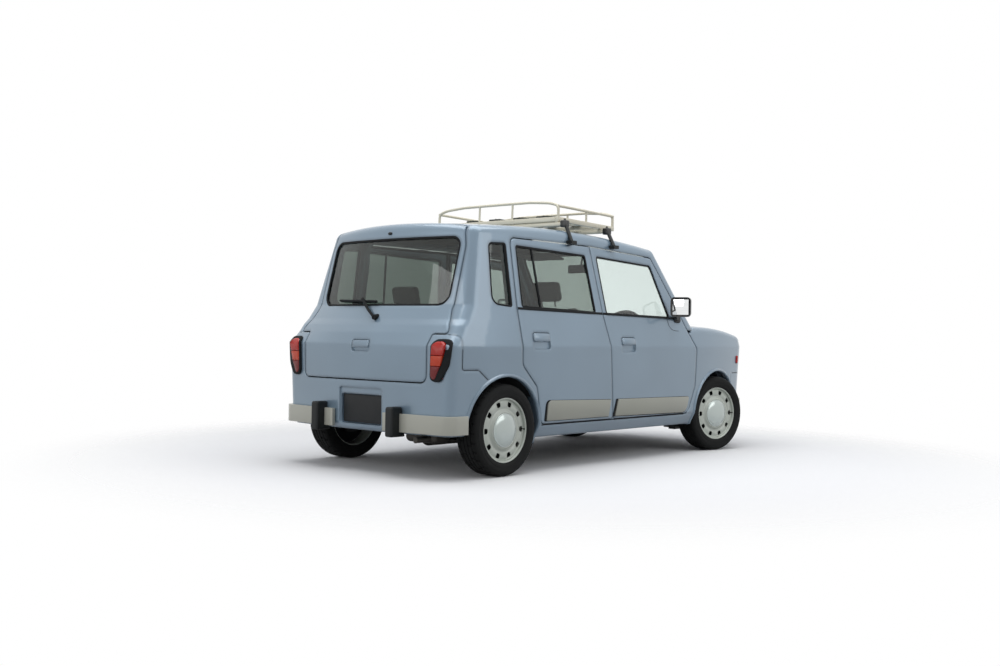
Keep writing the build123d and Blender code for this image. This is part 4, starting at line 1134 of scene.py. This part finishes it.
def makeMirror(m):
    x, y, z = m["x"], -m["y"], m["z"]
    shell = bmesh.new()
    bmesh.ops.create_cube(shell, size=1)
    bmesh.ops.scale(shell, verts=shell.verts, vec=(m["deep"] * 0.8, m["wide"], m["tall"]))
    front = [v for v in shell.verts if v.co.x > 0]
    bmesh.ops.scale(shell, verts=front, vec=(1, *m["taper"]))
    roundEdges(shell, list(shell.edges), m["corner"], 5)
    bmesh.ops.translate(shell, verts=shell.verts, vec=(x + m["deep"] * 0.10, y, z))
    frame = bmesh.new()
    bmesh.ops.create_cube(frame, size=1)
    bmesh.ops.scale(frame, verts=frame.verts, vec=(m["frameDeep"], m["wide"] * 0.99, m["tall"] * 0.99))
    upright = [e for e in frame.edges if abs(e.verts[0].co.x - e.verts[1].co.x) > 0.01]
    roundEdges(frame, upright, m["corner"], 5)
    back = [f for f in frame.faces if f.calc_center_median().x < -0.010]
    bmesh.ops.inset_region(frame, faces=back, thickness=m["lip"], use_even_offset=True)
    bmesh.ops.translate(frame, verts=[v for f in back for v in f.verts], vec=(m["sunk"], 0, 0))
    bmesh.ops.translate(frame, verts=frame.verts, vec=(x - m["deep"] * 0.5 + 0.012, y, z))
    arm = bmesh.new()
    ahead, up, off = m["armRoot"]
    root = onRight(Vector((x + ahead, z + up, off)))
    tube(arm, [(x + a, y + b, z + c) for a, b, c in m["arm"]] + [root], m["armRadius"], 16, bend=0.02)
    foot = bmesh.new()
    outline(foot, [(x + a, z + b, radius) for a, b, radius in m["foot"]], 0.03)
    thicken(foot, -0.004, 0.008, 0.005, 3)
    lay(foot, onRight)
    glass = bmesh.new()
    bmesh.ops.create_grid(glass, x_segments=8, y_segments=8, size=0.5)
    shareWide, shareTall = m["glassShare"]
    bmesh.ops.scale(glass, verts=glass.verts, vec=(m["wide"] * shareWide, m["tall"] * shareTall, 1))
    halfWide, halfTall = m["bulgeHalf"]
    for v in glass.verts:
        v.co.z = -m["bulge"] * ((v.co.x / halfWide) ** 2 + (v.co.y / halfTall) ** 2)
    facingBack = Matrix(((0, 0, -1), (1, 0, 0), (0, 1, 0)))
    bmesh.ops.rotate(glass, verts=glass.verts, cent=(0, 0, 0), matrix=facingBack)
    bmesh.ops.translate(glass, verts=glass.verts, vec=(x - m["deep"] * 0.5 + 0.0035, y, z))
    for part in (shell, frame, glass):
        turn = Matrix.Rotation(math.radians(m["turn"]), 3, "Z")
        bmesh.ops.rotate(part, verts=part.verts, cent=(x, y, z), matrix=turn)
    return {"Shell": (shell, "bodyPaint", "body_paint"), "Frame": (frame, "glossBlack", "black_plastic"),
            "Arm": (arm, "blackPlastic", "black_plastic"), "Foot": (foot, "blackPlastic", "black_plastic"),
            "Face": (glass, "mirrorGlass", "black_plastic")}


for name, (bm, finish, slotName) in makeMirror(mirrors).items():
    right, left = bothSides(bm, "mirror" + name, finish, "front_door_SIDE", slotName)
    if name == "Shell":
        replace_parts(right, "door_mirror_right")
        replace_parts(left, "door_mirror_left")
print("mirrors made")


# ---- seats: padded forms blown up as cloth, then sewn; base, head restraints and their posts
seating = {
    "voxel": 0.012, "pressure": 4.0, "cap": 0.022, "frames": 20, "edge": 0.030,
    "seamWide": 0.007, "seamDeep": 0.010,
    "front": {"y": 0.325, "cushion": (0.130, 0.470), "hinge": (-0.110, 0.500), "lean": -16,
              "back": (-0.060, 0.280), "rest": 0.640, "posts": (0.540, 0.600)},
    "rear": {"cushion": (-0.645, 0.455), "hinge": (-0.850, 0.400), "lean": -14, "back": (-0.055, 0.282),
             "rest": 0.680, "restY": 0.235, "posts": (0.540, 0.610)},
    "postApart": 0.055, "postRadius": 0.006, "benchBase": ((-0.845, -0.545, 0.242), (-0.455, 0.545, 0.412)),
}
# the front seat's frame: across from its middle, half width, from and to in length and height, edge, segments
seatFrame = {
    "pan": ((0.0,), 0.190, (-0.080, 0.330), (0.300, 0.414), 0.016, 3),
    "runner": ((-0.170, 0.170), 0.016, (-0.150, 0.370), (0.242, 0.268), 0.005, 2),
    "rearLeg": ((-0.170, 0.170), 0.010, (-0.060, 0.020), (0.262, 0.310), 0.004, 2),
    "frontLeg": ((-0.170, 0.170), 0.010, (0.250, 0.320), (0.262, 0.310), 0.004, 2),
    "hingeCover": ((-0.232, 0.232), 0.012, (-0.200, 0.060), (0.410, 0.480), 0.010, 3),
}
# each pad: size deep, wide and tall, the axis its soft face looks along, the rise of its bolsters, its seams
pads = {
    "cushion": ((0.462, 0.452, 0.104), 2, 0.018, [(1, -0.140), (1, 0.140), (0, 0.090)]),
    "back": ((0.086, 0.434, 0.524), 0, 0.022, [(1, -0.135), (1, 0.135), (2, -0.110), (2, 0.120)]),
    "rest": ((0.056, 0.222, 0.132), 0, 0.0, [(2, 0.0)]),
    "benchCushion": ((0.372, 1.082, 0.094), 2, 0.006, [(1, -0.185), (1, 0.185), (0, 0.060)]),
    "benchBack": ((0.076, 0.944, 0.500), 0, 0.010, [(1, -0.185), (1, 0.185), (2, -0.070), (2, 0.130)]),
}


def applyModifiers(piece):
    graph = bpy.context.evaluated_depsgraph_get()
    mesh = bpy.data.meshes.new_from_object(piece.evaluated_get(graph))
    piece.modifiers.clear()
    piece.data = mesh


def swell(name, s):
    # the block as an even mesh, blown up as cloth, no point moving further than the cap
    size, face, bolster, seams = pads[name]
    bm = bmesh.new()
    box(bm, [-c / 2 for c in size], [c / 2 for c in size], min(s["edge"], min(size) * 0.42), 4)
    mesh = bpy.data.meshes.new(name)
    bm.to_mesh(mesh)
    bm.free()
    pad = bpy.data.objects.new(name + "Form", mesh)
    scene.collection.objects.link(pad)
    remesh = pad.modifiers.new("even", "REMESH")
    remesh.mode = "VOXEL"
    remesh.voxel_size = s["voxel"]
    applyModifiers(pad)
    start = [v.co.copy() for v in pad.data.vertices]
    cloth = pad.modifiers.new("swell", "CLOTH")
    cloth.settings.use_pressure = True
    cloth.settings.uniform_pressure_force = s["pressure"]
    cloth.settings.effector_weights.gravity = 0
    for step in range(1, s["frames"] + 1):
        scene.frame_set(step)
    applyModifiers(pad)
    scene.frame_set(1)
    for v, was in zip(pad.data.vertices, start):
        move = v.co - was
        if move.length > s["cap"]:
            v.co = was + move * (s["cap"] / move.length)
    smooth = pad.modifiers.new("smooth", "SUBSURF")
    smooth.levels = smooth.render_levels = 1
    applyModifiers(pad)
    sew = bmesh.new()
    sew.from_mesh(pad.data)
    half = size[1] / 2
    for v in sew.verts:
        front = v.co[face] / (size[face] / 2)
        if front < 0.25:
            continue
        share = min((front - 0.25) / 0.5, 1.0)
        side = min(max((abs(v.co.y) / half - 0.58) / 0.26, 0.0), 1.0)
        v.co[face] += bolster * share * side * side * (3 - 2 * side)
        for across, value in seams:
            away = (v.co[across] - value) / s["seamWide"]
            v.co[face] -= s["seamDeep"] * share * math.exp(-away * away)
    bpy.data.objects.remove(pad)
    return sew


def seatPad(form, name, place):
    bm = form.copy()
    bmesh.ops.transform(bm, matrix=place, verts=bm.verts)
    piece = toObject(bm, name, "seatCloth", "car_body", "seat_cloth", 180)
    return piece


def leaning(row, y):
    # from a backrest standing on its hinge to its place in the car
    (x, z), lean = row["hinge"], row["lean"]
    return Matrix.Translation((x, y, z)) @ Matrix.Rotation(math.radians(lean), 4, "Y")


def restPosts(bm, s, row, lean, y=0.0):
    for across in (-s["postApart"], s["postApart"]):
        points = [lean @ Vector((row["back"][0], y + across, up)) for up in row["posts"]]
        tube(bm, points, s["postRadius"], 12)


def addFrontSeat(s, side, sign):
    row = s["front"]
    y = sign * row["y"]
    lean = leaning(row, y)
    x, z = row["cushion"]
    cushion = seatPad(forms["cushion"], "frontCushion_" + side, Matrix.Translation((x, y, z)))
    if sign < 0:
        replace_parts(cushion, "seats")
    x, z = row["back"]
    seatPad(forms["back"], "frontSeatBack_" + side, lean @ Matrix.Translation((x, 0, z)))
    seatPad(forms["rest"], "frontHeadRest_" + side, lean @ Matrix.Translation((x, 0, row["rest"])))
    bm = bmesh.new()
    restPosts(bm, s, row, lean)
    toObject(bm, "frontRestPosts_" + side, "brightMetal", "car_body", "black_plastic")
    bm = bmesh.new()
    for acrosses, wide, (rear, front), (low, high), edge, segments in seatFrame.values():
        for across in acrosses:
            box(bm, (rear, y + across - wide, low), (front, y + across + wide, high), edge, segments)
    toObject(bm, "frontSeatFrame_" + side, "blackPlastic", "car_body", "black_plastic")


def addBench(s):
    row = s["rear"]
    lean = leaning(row, 0)
    x, z = row["cushion"]
    seatPad(forms["benchCushion"], "benchCushion", Matrix.Translation((x, 0, z)))
    x, z = row["back"]
    seatPad(forms["benchBack"], "benchBack", lean @ Matrix.Translation((x, 0, z)))
    bm = bmesh.new()
    for side, y in (("right", -row["restY"]), ("left", row["restY"])):
        seatPad(forms["rest"], "rearHeadRest_" + side, lean @ Matrix.Translation((x, y, row["rest"])))
        restPosts(bm, s, row, lean, y)
    toObject(bm, "rearRestPosts", "brightMetal", "car_body", "black_plastic")
    bm = bmesh.new()
    box(bm, *s["benchBase"], 0.014, 3)
    toObject(bm, "benchBase", "carpet", "car_body", "black_plastic")


forms = {name: swell(name, seating) for name in pads}
addFrontSeat(seating, "right", -1)
addFrontSeat(seating, "left", 1)
addBench(seating)
for form in forms.values():
    form.free()
print("seats made")


# ---- cabin: headliner, inner mirror, visors, instrument hood and column
cabin = {
    "liner": (-1.290, 0.350, 0.525, 1.470), "linerFall": 0.036, "linerDrop": (-0.2, 0.030),
    "linerThick": 0.006, "mirror": (0.430, 1.296), "mirrorHalf": (0.105, 0.030),
    "mirrorStem": [(0.008, 0.010), (0.022, 0.060), (0.030, 0.110)],
    "visor": (0.345, 0.300, 1.388), "visorHalf": (0.075, 0.165, 0.007), "visorTurn": 14,
    "binnacle": ((0.575, -0.520, 0.842), (0.690, -0.170, 0.902)),
    "column": ([(0.455, -0.345, 0.822), (0.640, -0.345, 0.742)], 0.030),
    "vents": (-0.075, 0.075), "vent": ((0.592, 0.772), (0.606, 0.828), 0.060),
    "panel": ((0.590, -0.145, 0.660), (0.604, 0.145, 0.752)),
    "knobs": (-0.090, 0.0, 0.090), "knob": (0.582, 0.700, 0.018, 0.015, 0.022),
    "gearLever": ([(0.470, -0.020, 0.242), (0.430, -0.020, 0.380), (0.415, -0.020, 0.520)], 0.008),
    "gearKnob": ((0.415, -0.020, 0.534), 0.024),
    "handBrake": ([(-0.060, 0.0, 0.262), (0.080, 0.0, 0.330), (0.150, 0.0, 0.372)], 0.013),
}


def addCabin(c):
    rear, front, half, top = c["liner"]
    start, drop = c["linerDrop"]
    bm = bmesh.new()
    bmesh.ops.create_grid(bm, x_segments=24, y_segments=16, size=1)
    bmesh.ops.scale(bm, verts=bm.verts, vec=((front - rear) / 2, half, 1))
    bmesh.ops.translate(bm, verts=bm.verts, vec=((front + rear) / 2, 0, top))
    for v in bm.verts:  # it falls to the sides, and towards the windshield
        forward = max(0.0, (v.co.x - start) / (front - start))
        v.co.z -= c["linerFall"] * (v.co.y / half) ** 2 + drop * forward ** 2
    bmesh.ops.solidify(bm, geom=list(bm.faces), thickness=c["linerThick"])
    toObject(bm, "headlining", "headliner", "car_body", "black_plastic")
    (x, z), (wide, tall) = c["mirror"], c["mirrorHalf"]
    bm = bmesh.new()
    box(bm, (x - 0.012, -wide, z - tall), (x + 0.014, wide, z + tall), 0.010, 3)
    tube(bm, [(x + ahead, 0, z + up) for ahead, up in c["mirrorStem"]], 0.007, 12, bend=0.012)
    toObject(bm, "innerMirror", "blackPlastic", "car_body", "black_plastic")
    x, y, z = c["visor"]
    for side, sign in (("right", -1), ("left", 1)):
        bm = bmesh.new()
        box(bm, [-d for d in c["visorHalf"]], c["visorHalf"], 0.006, 3)
        turn = Matrix.Rotation(math.radians(c["visorTurn"]), 4, "Y")
        bmesh.ops.transform(bm, verts=bm.verts, matrix=Matrix.Translation((x, sign * y, z)) @ turn)
        toObject(bm, "sunVisor_" + side, "headliner", "car_body", "black_plastic")
    bm = bmesh.new()
    box(bm, *c["binnacle"], 0.022, 4)
    tube(bm, *c["column"], 20)
    (rear, low), (front, high), wide = c["vent"]
    for y in c["vents"]:
        box(bm, (rear, y - wide, low), (front, y + wide, high), 0.006, 3)
    box(bm, *c["panel"], 0.006, 3)
    x, z, base, top, tall = c["knob"]
    turn = Matrix.Rotation(math.radians(-90), 4, "Y")
    for y in c["knobs"]:
        stud(bm, Matrix.Translation((x, y, z)) @ turn, base, top, tall, 24)
    toObject(bm, "dashTrim", "blackPlastic", "car_body", "black_plastic")
    bm = bmesh.new()
    tube(bm, *c["gearLever"], 12, bend=0.03)
    middle, radius = c["gearKnob"]
    bmesh.ops.create_icosphere(bm, subdivisions=3, radius=radius, matrix=Matrix.Translation(middle))
    tube(bm, *c["handBrake"], 12, bend=0.03)
    toObject(bm, "floorLevers", "blackPlastic", "car_body", "black_plastic")


addCabin(cabin)
print("cabin fitted")


# ---- studio: pale floor, white surroundings, soft lamps
studio = {
    "floor": (240, 240, 241), "near": 2.0, "far": 3.6, "underside": (112, 112, 113), "sky": 0.42,
    "topLamp": ((-0.5, -0.5, 5.5), (0, 0, 0.5), (6.5, 4.5), 250),
    "sideLamp": ((1.5, -6.5, 3.2), (0, 0, 0.8), (5, 3), 85),
    "rearLamp": ((-7.5, 1.0, 2.8), (0, 0, 0.8), (4, 3), 90),
}


def addStudio(s):
    bm = bmesh.new()
    bmesh.ops.create_grid(bm, x_segments=2, y_segments=2, size=30)
    mesh = bpy.data.meshes.new("floor")
    bm.to_mesh(mesh)
    bm.free()
    floor = bpy.data.objects.new("floor", mesh)
    scene.collection.objects.link(floor)
    material, tree, shader, place = newMaterial("floorPaint")
    # the floor is pale to look at and in reflections, but throws less light up on the object
    rays = tree.nodes.new("ShaderNodeLightPath")
    shown = blendColours(tree, rays.outputs["Is Diffuse Ray"], linear(*s["floor"]), linear(*s["underside"]))
    tree.links.new(shown, shader.inputs["Base Color"])
    shader.inputs["Roughness"].default_value = 0.9
    clear = tree.nodes.new("ShaderNodeBsdfTransparent")
    fade = tree.nodes.new("ShaderNodeMixShader")
    away = tree.nodes.new("ShaderNodeVectorMath")
    away.operation = "LENGTH"
    tree.links.new(place, away.inputs[0])
    span = tree.nodes.new("ShaderNodeMapRange")
    span.interpolation_type = "SMOOTHSTEP"
    span.inputs["From Min"].default_value = s["near"]
    span.inputs["From Max"].default_value = s["far"]
    tree.links.new(away.outputs["Value"], span.inputs["Value"])
    tree.links.new(span.outputs[0], fade.inputs[0])
    tree.links.new(shader.outputs[0], fade.inputs[1])
    tree.links.new(clear.outputs[0], fade.inputs[2])
    tree.links.new(fade.outputs[0], next(n for n in tree.nodes if n.type == "OUTPUT_MATERIAL").inputs[0])
    mesh.materials.append(material)
    world = bpy.data.worlds.new("studio")
    scene.world = world
    world.use_nodes = True
    tree = world.node_tree
    tree.nodes.clear()
    out = tree.nodes.new("ShaderNodeOutputWorld")
    soft = tree.nodes.new("ShaderNodeBackground")
    white = tree.nodes.new("ShaderNodeBackground")
    mix = tree.nodes.new("ShaderNodeMixShader")
    path = tree.nodes.new("ShaderNodeLightPath")
    soft.inputs["Color"].default_value = linear(236, 240, 246)
    soft.inputs["Strength"].default_value = s["sky"]
    white.inputs["Color"].default_value = (1, 1, 1, 1)
    white.inputs["Strength"].default_value = 1.0
    seen = path.outputs["Is Camera Ray"]  # seen straight, in a reflection or through glass, it is plain white
    for ray in ("Is Glossy Ray", "Is Transmission Ray"):
        either = tree.nodes.new("ShaderNodeMath")
        either.operation = "MAXIMUM"
        tree.links.new(seen, either.inputs[0])
        tree.links.new(path.outputs[ray], either.inputs[1])
        seen = either.outputs[0]
    tree.links.new(seen, mix.inputs[0])
    tree.links.new(soft.outputs[0], mix.inputs[1])
    tree.links.new(white.outputs[0], mix.inputs[2])
    tree.links.new(mix.outputs[0], out.inputs[0])


def addLamp(name, place, target, size, power):
    data = bpy.data.lights.new(name, "AREA")
    data.shape = "RECTANGLE"
    data.size, data.size_y = size
    data.energy = power
    lamp = bpy.data.objects.new(name, data)
    lamp.location = place
    lamp.rotation_mode = "QUATERNION"
    lamp.rotation_quaternion = (Vector(target) - Vector(place)).to_track_quat("-Z", "Y")
    scene.collection.objects.link(lamp)


addStudio(studio)
for name in ("topLamp", "sideLamp", "rearLamp"):
    addLamp(name, *studio[name])
print("studio ready")

scene.view_settings.view_transform = "Standard"
